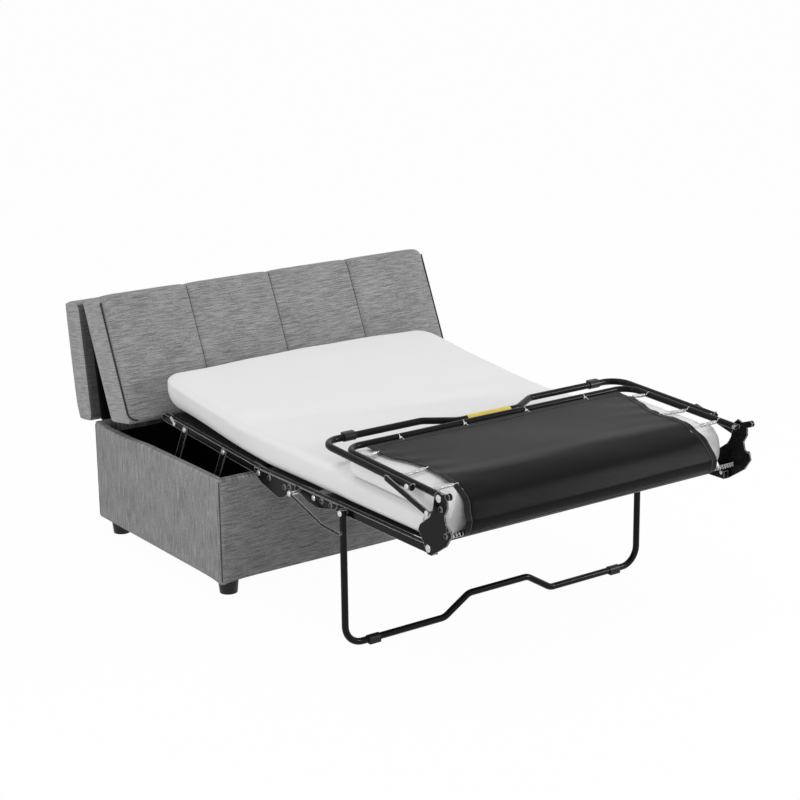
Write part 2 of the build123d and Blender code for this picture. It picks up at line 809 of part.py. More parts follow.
def foot_section():
    end = foot_frame_end_y
    start = fold_high_y
    points = [
        (foot_frame_x, start, fold_high_z),
        (foot_frame_x, end, fold_high_z),
        (-foot_frame_x, end, fold_high_z),
        (-foot_frame_x, start, fold_high_z),
    ]
    frame = tube_along(points, foot_frame_bend_radius, foot_frame_radius)
    for sign in (-1, 1):
        frame -= pin(fold_high, running_hole, sign * foot_frame_x - foot_frame_radius - overrun,
                     sign * foot_frame_x + foot_frame_radius + overrun)
    nodes["foot_frame"] = foot_turned([frame])
    nodes["foot_leg_rivets"] = foot_turned(both_sides(
        [rivet(foot_leg_pivot, pin_radius, foot_frame_outer,
               leg_x + leg_tube_radius)]
    ))
    deck = Pos(0, (mattress_fold_y + deck_end_y) / 2, fold_high_z) * Box(
        2 * deck_side_x, deck_end_y - mattress_fold_y, deck_cloth
    )
    nodes["foot_deck"] = foot_turned([deck])
    nodes["foot_deck_springs"] = foot_turned(deck_springs())


def deck_springs():
    """Short tension springs between the edge of the deck cloth and the foot frame."""
    found = []
    side_gap = foot_frame_inner - deck_side_x
    run = deck_end_y - mattress_fold_y
    for share in deck_spring_shares:
        y = mattress_fold_y + run * share
        spring = pin((y, fold_high_z), deck_spring_radius, deck_side_x, deck_side_x + side_gap)
        found += both_sides([spring])
    end_gap = foot_frame_end_y - foot_frame_radius - deck_end_y
    for index in range(deck_springs_end):
        x = -deck_side_x + 2 * deck_side_x * (index + 0.5) / deck_springs_end
        spring = Cylinder(deck_spring_radius, end_gap, rotation=(90, 0, 0))
        found.append(Pos(x, deck_end_y + end_gap / 2, fold_high_z) * spring)
    return found


def foot_leg():
    """The second leg, folded flat so that its bar lies on the end of the foot frame."""
    tail = along(foot_leg_pivot, 180, leg_tube_radius)
    joint = along(foot_leg_pivot, 0, foot_link_reach)
    leg = u_leg(foot_leg_pivot, 0, foot_leg_length, tail)
    nodes["foot_leg"] = foot_turned([with_link_pins(leg, joint)])
    nodes["foot_leg_caps"] = foot_turned(
        leg_caps(foot_leg_pivot, 0, foot_leg_length)
    )
    centre = along(foot_leg_pivot, 0, foot_leg_length - leg_hump_height)
    ring = Pos(*centre) * (Circle(leg_tube_radius + band_skin) - Circle(leg_tube_radius))
    nodes["foot_leg_band"] = foot_turned([side_slab(ring, -band_length / 2, band_length / 2)])


def foot_leg_links():
    """Flat links that swing the foot leg down as the foot section opens."""
    joint = along(foot_leg_pivot, 0, foot_link_reach)
    joint = along(fold_high, heading(fold_high, joint) + foot_tilt, span(fold_high, joint))
    shape = bar_profile(foot_link_pin, joint, foot_link_width, round_start=True, round_end=True)
    shape -= Pos(*foot_link_pin) * Circle(small_rivet_radius + pin_clearance)
    nodes["foot_leg_links"] = both_sides([side_slab(shape, brace_x, brace_x + brace_plate)])


# Soft pieces
def deck_sheet(start, end):
    """A stretched cloth deck between the rails, in line with them."""
    shape = bar_profile(start, end, deck_cloth)
    return side_slab(shape, -deck_half, deck_half)


def decks():
    head_start = rail_point(head_hinge_y + deck_inset)
    head_stop = rail_point(head_end_y - deck_inset)
    nodes["head_deck"] = [
        deck_sheet(along(head_start, 90, deck_lift), along(head_stop, 90, deck_lift))
    ]
    lift = rail_z + deck_lift
    nodes["link_deck"] = [
        deck_sheet((head_hinge_y - deck_inset, lift), (body_hinge_y + deck_inset, lift))
    ]
    nodes["body_deck"] = [
        deck_sheet((body_hinge_y - deck_inset, lift), (drum_start[0] + soft_gap, drum_start[1]))
    ]
    drum_end = along(fold_high, foot_tilt, mattress_fold_y - fold_high_y - soft_gap)
    points = [drum_start] + [fold_point(*share) for share in drum_shares] + [drum_end]
    middle = fold_point(*drum_middle_shares)
    inner_points = [along(point, heading(point, middle), deck_cloth) for point in points]
    curve = Spline(*points)
    inner = Spline(*inner_points)
    face = make_face([curve, Line(curve @ 1, inner @ 1), inner, Line(inner @ 0, curve @ 0)])
    nodes["fold_deck"] = [side_slab(face, -deck_side_x, deck_side_x)]


def mattress_piece(points, far_y=None):
    """A length of mattress drawn in the side view, its long edges and free end rounded."""
    solid = side_slab(outline(points), -mattress_half, mattress_half)
    long_edges = [edge for edge in solid.edges()
                  if abs(edge.center().X) > mattress_half - soft_gap
                  and abs(edge.tangent_at(0.5).Y) > 0.5]
    if far_y is not None:
        long_edges += [edge for edge in solid.edges()
                       if abs(edge.center().Y - far_y) < soft_gap
                       and abs(edge.tangent_at(0.5).X) > 0.5]
    return fillet(long_edges, mattress_edge_radius)


def mattress():
    top = mattress_thickness
    head_low = rail_point(head_hinge_y + mattress_knee_lap)
    rear = rail_point(mattress_rear_y)
    bottom = deck_lift + deck_cloth / 2 + soft_gap
    low = rail_z + bottom
    head_points = [
        along(head_low, 90, bottom), along(rear, 90, bottom),
        along(rear, 90, bottom + mattress_rear_thickness), along(head_low, 90, bottom + top),
    ]
    head = mattress_piece(head_points, rear[0])
    plan = Pos(0, (rear[0] + head_hinge_y) / 2) * Rectangle(
        2 * mattress_half, rear[0] - head_hinge_y
    )
    plan = fillet(plan.vertices().group_by(Axis.Y)[-1], mattress_corner_radius)
    nodes["mattress_head"] = [head & extrude(plan, amount=box_width)]
    under = foot_edge(mattress_fold_y)
    far_under = foot_edge(mattress_foot_end_y)
    meet = (low + under) / 2
    far_meet = (low + far_under) / 2
    half_gap = soft_gap / 2
    nodes["mattress_knee"] = [mattress_piece([
        along(head_low, 90, bottom), along(head_low, 90, bottom + top),
        (head_hinge_y, low + top), (mattress_foot_end_y + mattress_step, low + top),
        (mattress_foot_end_y, far_meet - half_gap), (mattress_foot_end_y, low),
        (head_hinge_y, low),
    ])]
    nodes["mattress_body"] = [mattress_piece([
        (mattress_fold_y, low), (mattress_foot_end_y, low),
        (mattress_foot_end_y, far_meet - half_gap), (mattress_fold_y, meet - half_gap),
    ])]
    nodes["mattress_foot"] = [mattress_piece([
        (mattress_fold_y, meet + half_gap), (mattress_foot_end_y, far_meet + half_gap),
        (mattress_foot_end_y, far_under), (mattress_fold_y, under),
    ], mattress_foot_end_y)]
    fold_start = mattress_fold_y - soft_gap
    fold = outline([
        (fold_start, low), (fold_start, under),
        (fold_start - mattress_bulge * bulge_top_share, under - mattress_bulge * bulge_drop_share),
        (fold_start - mattress_bulge, (low + under) / 2),
        (fold_start - mattress_bulge * bulge_top_share, low),
    ])
    nodes["mattress_fold"] = [side_slab(fold, -mattress_half, mattress_half)]


def foot_edge(y):
    """Height of the underside of the foot frame at a place along the bed."""
    slope = sin(radians(foot_tilt)) / cos(radians(foot_tilt))
    return fold_high_z + (y - fold_high_y) * slope - foot_frame_radius - soft_gap


def build():
    for step in (
        box_panels, box_cover, box_lining, box_feet, lid_rear, lid_front, lid_hinges,
        head_section, lift_arms, latches, link_section, body_section, front_leg, leg_braces,
        fold_bracket, foot_section, foot_leg, foot_leg_links, decks, mattress,
    ):
        step()


def export():
    """Centre the whole part along Y over its bounds and write one STEP file a node."""
    os.makedirs("parts", exist_ok=True)
    boxes = [solid.bounding_box() for solids in nodes.values() for solid in solids]
    shift = -(min(b.min.Y for b in boxes) + max(b.max.Y for b in boxes)) / 2
    print("origin shift along Y", round(shift, 4))
    for name, solids in nodes.items():
        pieces = [piece for solid in solids for piece in solid.solids()]
        moved = [Pos(0, shift, 0) * piece for piece in pieces]
        export_step(Compound(moved), f"parts/{name}.step")
    return shift


build()
export()
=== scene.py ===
import json
import math

import bmesh
import bpy
from mathutils import Matrix, Vector


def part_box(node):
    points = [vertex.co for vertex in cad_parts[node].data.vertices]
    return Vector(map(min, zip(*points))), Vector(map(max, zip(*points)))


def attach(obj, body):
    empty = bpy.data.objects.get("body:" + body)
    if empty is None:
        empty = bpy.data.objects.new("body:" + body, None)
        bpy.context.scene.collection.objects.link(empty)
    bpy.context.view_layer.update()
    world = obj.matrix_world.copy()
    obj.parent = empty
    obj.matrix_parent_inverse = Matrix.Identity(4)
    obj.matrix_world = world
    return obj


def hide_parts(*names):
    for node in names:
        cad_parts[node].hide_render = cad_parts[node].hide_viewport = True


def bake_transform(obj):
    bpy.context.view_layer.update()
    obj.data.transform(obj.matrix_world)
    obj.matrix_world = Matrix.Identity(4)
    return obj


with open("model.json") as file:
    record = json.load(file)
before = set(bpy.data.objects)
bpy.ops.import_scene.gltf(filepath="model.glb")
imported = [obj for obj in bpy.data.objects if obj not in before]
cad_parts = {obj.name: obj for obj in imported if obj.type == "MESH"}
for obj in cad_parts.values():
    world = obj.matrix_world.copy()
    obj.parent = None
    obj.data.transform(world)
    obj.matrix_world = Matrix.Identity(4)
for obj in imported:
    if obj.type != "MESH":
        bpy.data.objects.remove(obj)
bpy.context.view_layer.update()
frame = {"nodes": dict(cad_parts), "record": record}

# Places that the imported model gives. X runs across the bed, -Y to its foot end, Z up.
FEET_LOW, FEET_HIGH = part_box("box_feet")
BOX_MIDDLE_Y = (FEET_LOW.y + FEET_HIGH.y) / 2


def y_at(y_mm):
    """The y in metres of a place in mm from the middle of the box."""
    return BOX_MIDDLE_Y + y_mm / 1000


def place(y_mm, z_mm):
    """A side-view place in mm from the floor below the box, as (y, z) in metres."""
    return y_at(y_mm), z_mm / 1000


def link_object(name, data):
    """A new object with the given data, linked into the scene."""
    linked = bpy.data.objects.new(name, data)
    bpy.context.collection.objects.link(linked)
    return linked


def grey(value):
    return (value, value, value)


# --- Camera, floor and light -------------------------------------------------------
CAMERA_PLACE = (-3.1876, BOX_MIDDLE_Y - 4.8774, 2.0271)
CAMERA_AZIMUTH, CAMERA_ELEVATION, CAMERA_ROLL = -35.57, 15.57, 0.66
CAMERA_LENS = 87.15
CAMERA_FAR = 60


def set_camera():
    bpy.context.scene.view_settings.view_transform = "Standard"
    azimuth, elevation = math.radians(CAMERA_AZIMUTH), math.radians(CAMERA_ELEVATION)
    back = Vector((math.sin(azimuth) * math.cos(elevation),
                   -math.cos(azimuth) * math.cos(elevation), math.sin(elevation)))
    right = Vector((0, 0, 1)).cross(back).normalized()
    turn = Matrix.Rotation(-math.radians(CAMERA_ROLL), 3, back)
    right = turn @ right
    up = back.cross(right)
    camera = link_object("camera", bpy.data.cameras.new("camera"))
    camera.data.lens = CAMERA_LENS
    camera.data.clip_end = CAMERA_FAR
    camera.matrix_world = Matrix((
        (right.x, up.x, back.x, CAMERA_PLACE[0]),
        (right.y, up.y, back.y, CAMERA_PLACE[1]),
        (right.z, up.z, back.z, CAMERA_PLACE[2]),
        (0, 0, 0, 1),
    ))
    bpy.context.scene.camera = camera


def add(nodes, kind, **values):
    """A shader node with its properties and the defaults of its sockets set."""
    node = nodes.new(kind)
    for name, value in values.items():
        if hasattr(node, name):
            setattr(node, name, value)
        else:
            node.inputs[name].default_value = value
    return node


def seen_directly(nodes, links):
    """1 for camera, glossy and transmission rays, else 0."""
    path = nodes.new("ShaderNodeLightPath")
    first = add(nodes, "ShaderNodeMath", operation="MAXIMUM")
    second = add(nodes, "ShaderNodeMath", operation="MAXIMUM")
    links.new(path.outputs["Is Camera Ray"], first.inputs[0])
    links.new(path.outputs["Is Glossy Ray"], first.inputs[1])
    links.new(first.outputs[0], second.inputs[0])
    links.new(path.outputs["Is Transmission Ray"], second.inputs[1])
    return second.outputs[0]


# share of the floor that shows plain white; the rest keeps the object's soft shadow
FLOOR_WHITE_SHARE = 0.975
FLOOR_SIZE = 40
FLOOR_TONE = 0.86
WHITE = (1, 1, 1, 1)
WORLD_STRENGTH = 0.55


def show_where_seen(tree, out_kind, unseen, seen, share):
    """Mix two shaders so that the second shows, by its share, where it is seen directly."""
    factor = add(tree.nodes, "ShaderNodeMath", operation="MULTIPLY")
    factor.inputs[1].default_value = share
    mix = tree.nodes.new("ShaderNodeMixShader")
    out = tree.nodes.new(out_kind)
    tree.links.new(seen_directly(tree.nodes, tree.links), factor.inputs[0])
    for index, socket in enumerate((factor.outputs[0], unseen.outputs[0], seen.outputs[0])):
        tree.links.new(socket, mix.inputs[index])
    tree.links.new(mix.outputs[0], out.inputs[0])


def set_world():
    """White where it is seen directly, softer where it lights the object."""
    world = bpy.data.worlds.new("studio")
    bpy.context.scene.world = world
    world.use_nodes = True
    tree = world.node_tree
    tree.nodes.clear()
    soft = add(tree.nodes, "ShaderNodeBackground", Color=WHITE, Strength=WORLD_STRENGTH)
    white = add(tree.nodes, "ShaderNodeBackground", Color=WHITE, Strength=1.0)
    show_where_seen(tree, "ShaderNodeOutputWorld", soft, white, 1.0)


def set_floor():
    """A wide pale floor, far larger than the picture."""
    mesh = bpy.data.meshes.new("floor")
    bm = bmesh.new()
    bmesh.ops.create_grid(bm, x_segments=1, y_segments=1, size=FLOOR_SIZE)
    bm.to_mesh(mesh)
    bm.free()
    floor = link_object("floor", mesh)
    material = bpy.data.materials.new("floor")
    material.use_nodes = True
    tree = material.node_tree
    tree.nodes.clear()
    matt = add(tree.nodes, "ShaderNodeBsdfDiffuse", Color=(*grey(FLOOR_TONE), 1))
    white = add(tree.nodes, "ShaderNodeEmission", Color=WHITE, Strength=1.0)
    show_where_seen(tree, "ShaderNodeOutputMaterial", matt, white, FLOOR_WHITE_SHARE)
    mesh.materials.append(material)


# name: place, target, size across and along in metres, power in watts
LAMPS = {
    "key": ((2.7, -2.6, 1.45), (0.2, 0, 0.4), (0.8, 0.8), 62),
    "top": ((-0.6, 0.2, 3.9), (0, 0, 0.4), (0.4, 3.0), 33),
    "left": ((-4.2, -1.5, 2.0), (0, 0, 0.3), (1.4, 1.8), 47),
}


def add_light(name, place_m, target, size, power):
    lamp = bpy.data.lights.new(name, "AREA")
    lamp.shape = "RECTANGLE"
    lamp.size, lamp.size_y = size
    lamp.energy = power
    light = link_object(name, lamp)
    light.location = place_m
    light.rotation_euler = (Vector(target) - Vector(place_m)).to_track_quat("-Z", "Y").to_euler()


set_camera()
set_world()
set_floor()
for lamp_name, lamp_values in LAMPS.items():
    add_light(lamp_name, *lamp_values)


# --- Shader groups -----------------------------------------------------------------
def group(name, inputs, outputs):
    """An empty shader group with named inputs (name, type, default) and outputs."""
    tree = bpy.data.node_groups.new(name, "ShaderNodeTree")
    for label, kind, value in inputs:
        socket = tree.interface.new_socket(label, in_out="INPUT", socket_type=kind)
        if value is not None:
            socket.default_value = value
    for label, kind in outputs:
        tree.interface.new_socket(label, in_out="OUTPUT", socket_type=kind)
    return tree, tree.nodes.new("NodeGroupInput"), tree.nodes.new("NodeGroupOutput")


FLOAT, VECTOR = "NodeSocketFloat", "NodeSocketVector"


def combine(tree, first, second, operation="ADD"):
    """Two sockets or numbers added, or combined by another operation."""
    node = add(tree.nodes, "ShaderNodeMath", operation=operation)
    for index, value in enumerate((first, second)):
        if isinstance(value, (int, float)):
            node.inputs[index].default_value = value
        else:
            tree.links.new(value, node.inputs[index])
    return node.outputs[0]


def stretched_noise(tree, vector, scale, stretch, detail=2.0, roughness=0.5):
    """Noise whose grains are stretched along the first axis of the pattern."""
    mapping = add(tree.nodes, "ShaderNodeMapping")
    mapping.inputs["Scale"].default_value = stretch
    tree.links.new(vector, mapping.inputs["Vector"])
    noise = add(tree.nodes, "ShaderNodeTexNoise", Scale=scale, Detail=detail, Roughness=roughness)
    tree.links.new(mapping.outputs[0], noise.inputs["Vector"])
    return noise.outputs["Fac"]


def slub_weave_group():
    """Linen-look weave: fine threads both ways, with long uneven slubs along U."""
    tree, given, out = group(
        "slub_weave",
        [("Cloth", VECTOR, None), ("Slub", FLOAT, 0.5), ("Thread", FLOAT, 0.3)],
        [("Tone", FLOAT), ("Height", FLOAT)],
    )
    cloth = given.outputs["Cloth"]
    long_slub = stretched_noise(tree, cloth, 60.0, (0.5, 10.0, 1.0), 3.0, 0.6)
    short_slub = stretched_noise(tree, cloth, 150.0, (1.0, 7.0, 1.0), 2.0, 0.6)
    band = stretched_noise(tree, cloth, 30.0, (0.4, 10.0, 1.0), 2.0, 0.6)
    cross = stretched_noise(tree, cloth, 160.0, (8.0, 1.0, 1.0), 1.0)
    cloud = stretched_noise(tree, cloth, 7.0, (1.0, 1.0, 1.0), 2.0)
    slubs = combine(tree, combine(tree, combine(tree, long_slub, short_slub), band), -1.5)
    slubs = combine(tree, slubs, given.outputs["Slub"], "MULTIPLY")
    threads = combine(tree, combine(tree, cross, -0.5), given.outputs["Thread"], "MULTIPLY")
    clouds = combine(tree, combine(tree, cloud, -0.5), 0.32, "MULTIPLY")
    tone = combine(tree, combine(tree, slubs, threads), clouds)
    tree.links.new(combine(tree, tone, 0.5), out.inputs["Tone"])
    tree.links.new(combine(tree, slubs, threads), out.inputs["Height"])
    return tree


def ribbed_cloth_group():
    """Fine plain cloth: small crossing ribs with a little mottling."""
    tree, given, out = group(
        "ribbed_cloth",
        [("Cloth", VECTOR, None), ("Rib", FLOAT, 700.0), ("Mottle", FLOAT, 0.3)],
        [("Tone", FLOAT), ("Height", FLOAT)],
    )
    across = add(tree.nodes, "ShaderNodeSeparateXYZ")
    tree.links.new(given.outputs["Cloth"], across.inputs[0])
    waves = []
    for label in ("X", "Y"):
        turns = combine(tree, across.outputs[label], given.outputs["Rib"], "MULTIPLY")
        node = add(tree.nodes, "ShaderNodeMath", operation="SINE")
        tree.links.new(combine(tree, turns, 2 * math.pi, "MULTIPLY"), node.inputs[0])
        waves.append(node.outputs[0])
    ribs = combine(tree, combine(tree, waves[0], waves[1]), 0.25, "MULTIPLY")
    cloud = stretched_noise(tree, given.outputs["Cloth"], 9.0, (1.0, 1.0, 1.0), 3.0)
    mottled = combine(tree, combine(tree, cloud, -0.5), given.outputs["Mottle"], "MULTIPLY")
    tree.links.new(combine(tree, mottled, 0.5), out.inputs["Tone"])
    tree.links.new(ribs, out.inputs["Height"])
    return tree


def coated_steel_group():
    """Orange peel and faint dust of powder-coated steel."""
    tree, given, out = group(
        "coated_steel",
        [("Place", VECTOR, None), ("Peel", FLOAT, 500.0)],
        [("Dust", FLOAT), ("Height", FLOAT)],
    )
    peel = add(tree.nodes, "ShaderNodeTexNoise", Detail=1.0)
    tree.links.new(given.outputs["Place"], peel.inputs["Vector"])
    tree.links.new(given.outputs["Peel"], peel.inputs["Scale"])
    dust = add(tree.nodes, "ShaderNodeTexNoise", Scale=35.0, Detail=6.0, Roughness=0.7)
    tree.links.new(given.outputs["Place"], dust.inputs["Vector"])
    tree.links.new(dust.outputs["Fac"], out.inputs["Dust"])
    tree.links.new(peel.outputs["Fac"], out.inputs["Height"])
    return tree


def edge_shine_group():
    """1 along the outer edges of sheet metal: the mask of a painted highlight where their rounded
    corners catch the light.
    """
    tree, given, out = group("edge_shine", [("Width", FLOAT, 0.001), ("Gain", FLOAT, 4.0)],
                             [("Mask", FLOAT)])
    rounded = tree.nodes.new("ShaderNodeBevel")
    rounded.samples = 4
    tree.links.new(given.outputs["Width"], rounded.inputs["Radius"])
    surface = tree.nodes.new("ShaderNodeNewGeometry")
    dot = add(tree.nodes, "ShaderNodeVectorMath", operation="DOT_PRODUCT")
    tree.links.new(rounded.outputs["Normal"], dot.inputs[0])
    tree.links.new(surface.outputs["Normal"], dot.inputs[1])
    turned = combine(tree, 1.0, dot.outputs["Value"], "SUBTRACT")
    gained = add(tree.nodes, "ShaderNodeMath", operation="MULTIPLY", use_clamp=True)
    tree.links.new(turned, gained.inputs[0])
    tree.links.new(given.outputs["Gain"], gained.inputs[1])
    tree.links.new(gained.outputs[0], out.inputs["Mask"])
    return tree


SLUB_WEAVE = slub_weave_group()
EDGE_SHINE = edge_shine_group()
RIBBED_CLOTH = ribbed_cloth_group()
COATED_STEEL = coated_steel_group()


# --- Materials ---------------------------------------------------------------------
RAMP_ENDS = (0.28, 0.72)
# how much dust changes the roughness of a hard finish
DUST_ROUGH = 0.12
# width and strength of the painted highlight along the edges of sheet metal
EDGE_HIGHLIGHT_WIDTH = 0.0026
EDGE_HIGHLIGHT_GAIN = 4.0


def new_material(name, roughness, **surface):
    """A material with its Principled shader and the parts that build on it."""
    material = bpy.data.materials.new(name)
    material.use_nodes = True
    tree = material.node_tree
    shader = tree.nodes["Principled BSDF"]
    shader.inputs["Roughness"].default_value = roughness
    for label, value in surface.items():
        shader.inputs[label.replace("_", " ")].default_value = value
    return material, tree, shader


def placed_group(tree, source, vector_name, vector_output, **values):
    node = tree.nodes.new("ShaderNodeGroup")
    node.node_tree = source
    coordinates = tree.nodes.new("ShaderNodeTexCoord")
    tree.links.new(coordinates.outputs[vector_output], node.inputs[vector_name])
    for label, value in values.items():
        node.inputs[label].default_value = value
    return node


def tone_ramp(tree, factor, dark, light):
    """The colour between two tones, over the middle part of a pattern's range."""
    ramp = tree.nodes.new("ShaderNodeValToRGB")
    for element, position, tone in zip(ramp.color_ramp.elements, RAMP_ENDS, (dark, light)):
        element.position = position
        element.color = (*tone, 1)
    tree.links.new(factor, ramp.inputs[0])
    return ramp.outputs["Color"]


def bump(tree, shader, height, strength, distance):
    node = add(tree.nodes, "ShaderNodeBump", Strength=strength, Distance=distance)
    tree.links.new(height, node.inputs["Height"])
    tree.links.new(node.outputs["Normal"], shader.inputs["Normal"])


def cloth_material(name, dark, light, slub=0.8, thread=0.45, source=None, sheen=0.2,
                   laid_by="UV", specular=0.2, rough=0.9, **values):
    """Cloth between two tones: the slub weave, or another group with its own values."""
    material, tree, shader = new_material(name, rough, Sheen_Weight=sheen,
                                          Sheen_Roughness=0.5)
    shader.inputs["Specular IOR Level"].default_value = specular
    if source is None:
        weave = placed_group(tree, SLUB_WEAVE, "Cloth", laid_by, Slub=slub, Thread=thread)
    else:
        weave = placed_group(tree, source, "Cloth", laid_by, **values)
    colour = tone_ramp(tree, weave.outputs["Tone"], dark, light)
    tree.links.new(colour, shader.inputs["Base Color"])
    bump(tree, shader, weave.outputs["Height"], 0.35, 0.0006)
    return material


SOFA_CLOTH = cloth_material("sofa_cloth", grey(0.140), grey(0.338), slub=1.5, thread=0.7)
# a darker copy of the sofa cloth: painted shade on the rolled rim of the box
SOFA_CLOTH_RIM_PAINTED_SHADE = cloth_material("sofa_cloth_rim_painted_shade", grey(0.085), grey(0.20), slub=1.4)
# a darker copy of the sofa cloth: painted shade on the back of the rear lid pad
SOFA_CLOTH_PAINTED_SHADE = cloth_material("sofa_cloth_painted_shade", grey(0.045), grey(0.10), slub=1.2)
# a lighter copy of the sofa cloth: painted light on the end faces of the lid pads
SOFA_CLOTH_PAINTED_LIGHT = cloth_material("sofa_cloth_painted_light", grey(0.21), grey(0.42), slub=1.4)
# what the plain cloths and the threads have in common
PLAIN = {"source": RIBBED_CLOTH, "sheen": 0.0, "specular": 0.05}
THREAD = {**PLAIN, "laid_by": "Object", "Rib": 900.0, "Mottle": 0.4}
LINING_CLOTH = cloth_material("lining_cloth", grey(0.004), grey(0.010), **PLAIN,
                              Rib=500.0, Mottle=0.5)
LINING_BOARD = cloth_material("lining_board", grey(0.003), grey(0.007), **PLAIN,
                              laid_by="Object", Rib=500.0, Mottle=0.5)
MATTRESS_CLOTH = cloth_material("mattress_cloth", grey(0.79), grey(0.83), source=RIBBED_CLOTH,
                                sheen=0.05, Rib=400.0, Mottle=0.35)
DECK_CLOTH = cloth_material("deck_cloth", (0.003, 0.003, 0.0033), (0.006, 0.006, 0.0064),
                            source=RIBBED_CLOTH, sheen=0.022, specular=0.055, rough=0.32,
                            Rib=450.0, Mottle=0.6)
DECK_HEM = cloth_material("deck_hem", grey(0.004), grey(0.008), source=RIBBED_CLOTH,
                          sheen=0.035, specular=0.08, rough=0.45, Rib=700.0, Mottle=0.5)
# seam thread darker than the cloth: partly thread, partly painted shade of the seam's groove
SEAM_THREAD_AND_SHADE = cloth_material("seam_thread_and_painted_shade", grey(0.05), grey(0.09), **THREAD)
# a dark cord of painted shade along the gusset seams of the front lid pad
SEAM_SHADE = cloth_material("seam_shade", grey(0.028), grey(0.055), **THREAD)
# a light row of hem stitching: partly thread, partly a painted highlight along the hem
HEM_THREAD_PAINTED_HIGHLIGHT = cloth_material("hem_thread_painted_highlight", grey(0.06), grey(0.11),
                            **{**THREAD, "specular": 0.2})


def metal_material(name, colour, metallic, roughness, peel=600.0, edge=None, **surface):
    """A hard finish with faint dust, and a painted highlight along its edges where edge gives its
    colour.
    """
    material, tree, shader = new_material(name, roughness, Metallic=metallic, **surface)
    coat = placed_group(tree, COATED_STEEL, "Place", "Object", Peel=peel)
    dark = tuple(0.8 * part for part in colour)
    light = tuple(min(1.0, 1.15 * part) for part in colour)
    colour = tone_ramp(tree, coat.outputs["Dust"], dark, light)
    # edge is the colour of the painted highlight mixed into the base colour along the edges
    if edge is not None:
        shine = tree.nodes.new("ShaderNodeGroup")
        shine.node_tree = EDGE_SHINE
        shine.inputs["Width"].default_value = EDGE_HIGHLIGHT_WIDTH
        shine.inputs["Gain"].default_value = EDGE_HIGHLIGHT_GAIN
        mix = add(tree.nodes, "ShaderNodeMix", data_type="RGBA")
        tree.links.new(shine.outputs["Mask"], mix.inputs["Factor"])
        tree.links.new(colour, mix.inputs[6])
        mix.inputs[7].default_value = (*edge, 1)
        colour = mix.outputs[2]
    tree.links.new(colour, shader.inputs["Base Color"])
    rough = combine(tree, combine(tree, coat.outputs["Dust"], DUST_ROUGH, "MULTIPLY"),
                   roughness - DUST_ROUGH / 2)
    tree.links.new(rough, shader.inputs["Roughness"])
    bump(tree, shader, coat.outputs["Height"], 0.12, 0.0003)
    return material


# black steel gets a near-white painted highlight along its edges
BLACK_STEEL = metal_material("black_steel", (0.004, 0.004, 0.0045), 0.0, 0.22,
                             edge=grey(0.70), Specular_IOR_Level=0.09)
ZINC_STEEL = metal_material("zinc_steel", (0.62, 0.62, 0.60), 1.0, 0.28, peel=1200.0)
BLACK_PLASTIC = metal_material("black_plastic", (0.008, 0.008, 0.009), 0.0, 0.38, peel=900.0,
                               Specular_IOR_Level=0.25)
YELLOW_SLEEVE = metal_material("yellow_sleeve", (0.66, 0.50, 0.045), 0.0, 0.45, peel=900.0)


def board_material():
    """Pressed wood chips."""
    material, tree, shader = new_material("board", 0.7)
    coordinates = tree.nodes.new("ShaderNodeTexCoord")
    chips = stretched_noise(tree, coordinates.outputs["Object"], 90.0, (1.0, 1.0, 4.0), 5.0, 0.7)
    colour = tone_ramp(tree, chips, (0.24, 0.16, 0.09), (0.50, 0.37, 0.23))
    tree.links.new(colour, shader.inputs["Base Color"])
    bump(tree, shader, chips, 0.2, 0.0006)
    return material


BOARD = board_material()

NODE_FINISH = {
    "black_steel": BLACK_STEEL, "zinc_steel": ZINC_STEEL, "black_plastic": BLACK_PLASTIC,
    "yellow_band": YELLOW_SLEEVE, "board": BOARD, "box_fabric": SOFA_CLOTH,
    "lid_fabric": SOFA_CLOTH, "lining_cloth": LINING_CLOTH, "deck_cloth": DECK_CLOTH,
    "mattress_cloth": MATTRESS_CLOTH,
}
# boards whose bare side is covered with the lining
COVERED_BOARDS = ("lid_front_board", "lid_rear_board")


def finish_nodes():
    """Give every CAD node the finish of its material slot."""
    slots = {part["node"]: part["material_slot"] for part in frame["record"]["subparts"]}
    for name, node in frame["nodes"].items():
        finish = LINING_BOARD if name in COVERED_BOARDS else NODE_FINISH[slots[name]]
        if not node.material_slots:
            node.data.materials.append(finish)
        for entry in node.material_slots:
            entry.material = finish


finish_nodes()


# --- Making soft pieces ------------------------------------------------------------
AXES = (Vector((1, 0, 0)), Vector((0, 1, 0)), Vector((0, 0, 1)))
# a face looks along an axis where its normal reaches this far along it
FACING = 0.9
# a vertex lies on a plane where it is nearer to it than this
NEAR = 1e-4


def new_piece(name, bm, *materials, outward=True):
    """A smooth object at the origin; without outward, its faces keep the side they have."""
    mesh = bpy.data.meshes.new(name)
    if outward:
        bmesh.ops.recalc_face_normals(bm, faces=bm.faces)
    for face in bm.faces:
        face.smooth = True
    bm.to_mesh(mesh)
    bm.free()
    for material in materials:
        mesh.materials.append(material)
    return link_object(name, mesh)


def spread(low, high, count):
    return [low + (high - low) * index / count for index in range(count + 1)]


def grid_cuts(length, count, radius, steps=4):
    """Even cut places over a length, with more near both ends for an edge to be rounded."""
    near = [radius * (1 - math.cos(math.pi / 2 * (index + 1) / (steps + 1)))
            for index in range(steps)] + [radius]
    return spread(0, length, count) + near + [length - cut for cut in near]


def everything(bm):
    return bm.verts[:] + bm.edges[:] + bm.faces[:]


def cut_across(bm, axis, length, cuts):
    """Edge loops across a mesh at the given places along one axis, without its ends."""
    for cut in sorted(set(round(value, 6) for value in cuts)):
        if 1e-5 < cut < length - 1e-5:
            bmesh.ops.bisect_plane(bm, geom=everything(bm), dist=1e-7,
                                   plane_co=AXES[axis] * cut, plane_no=AXES[axis])


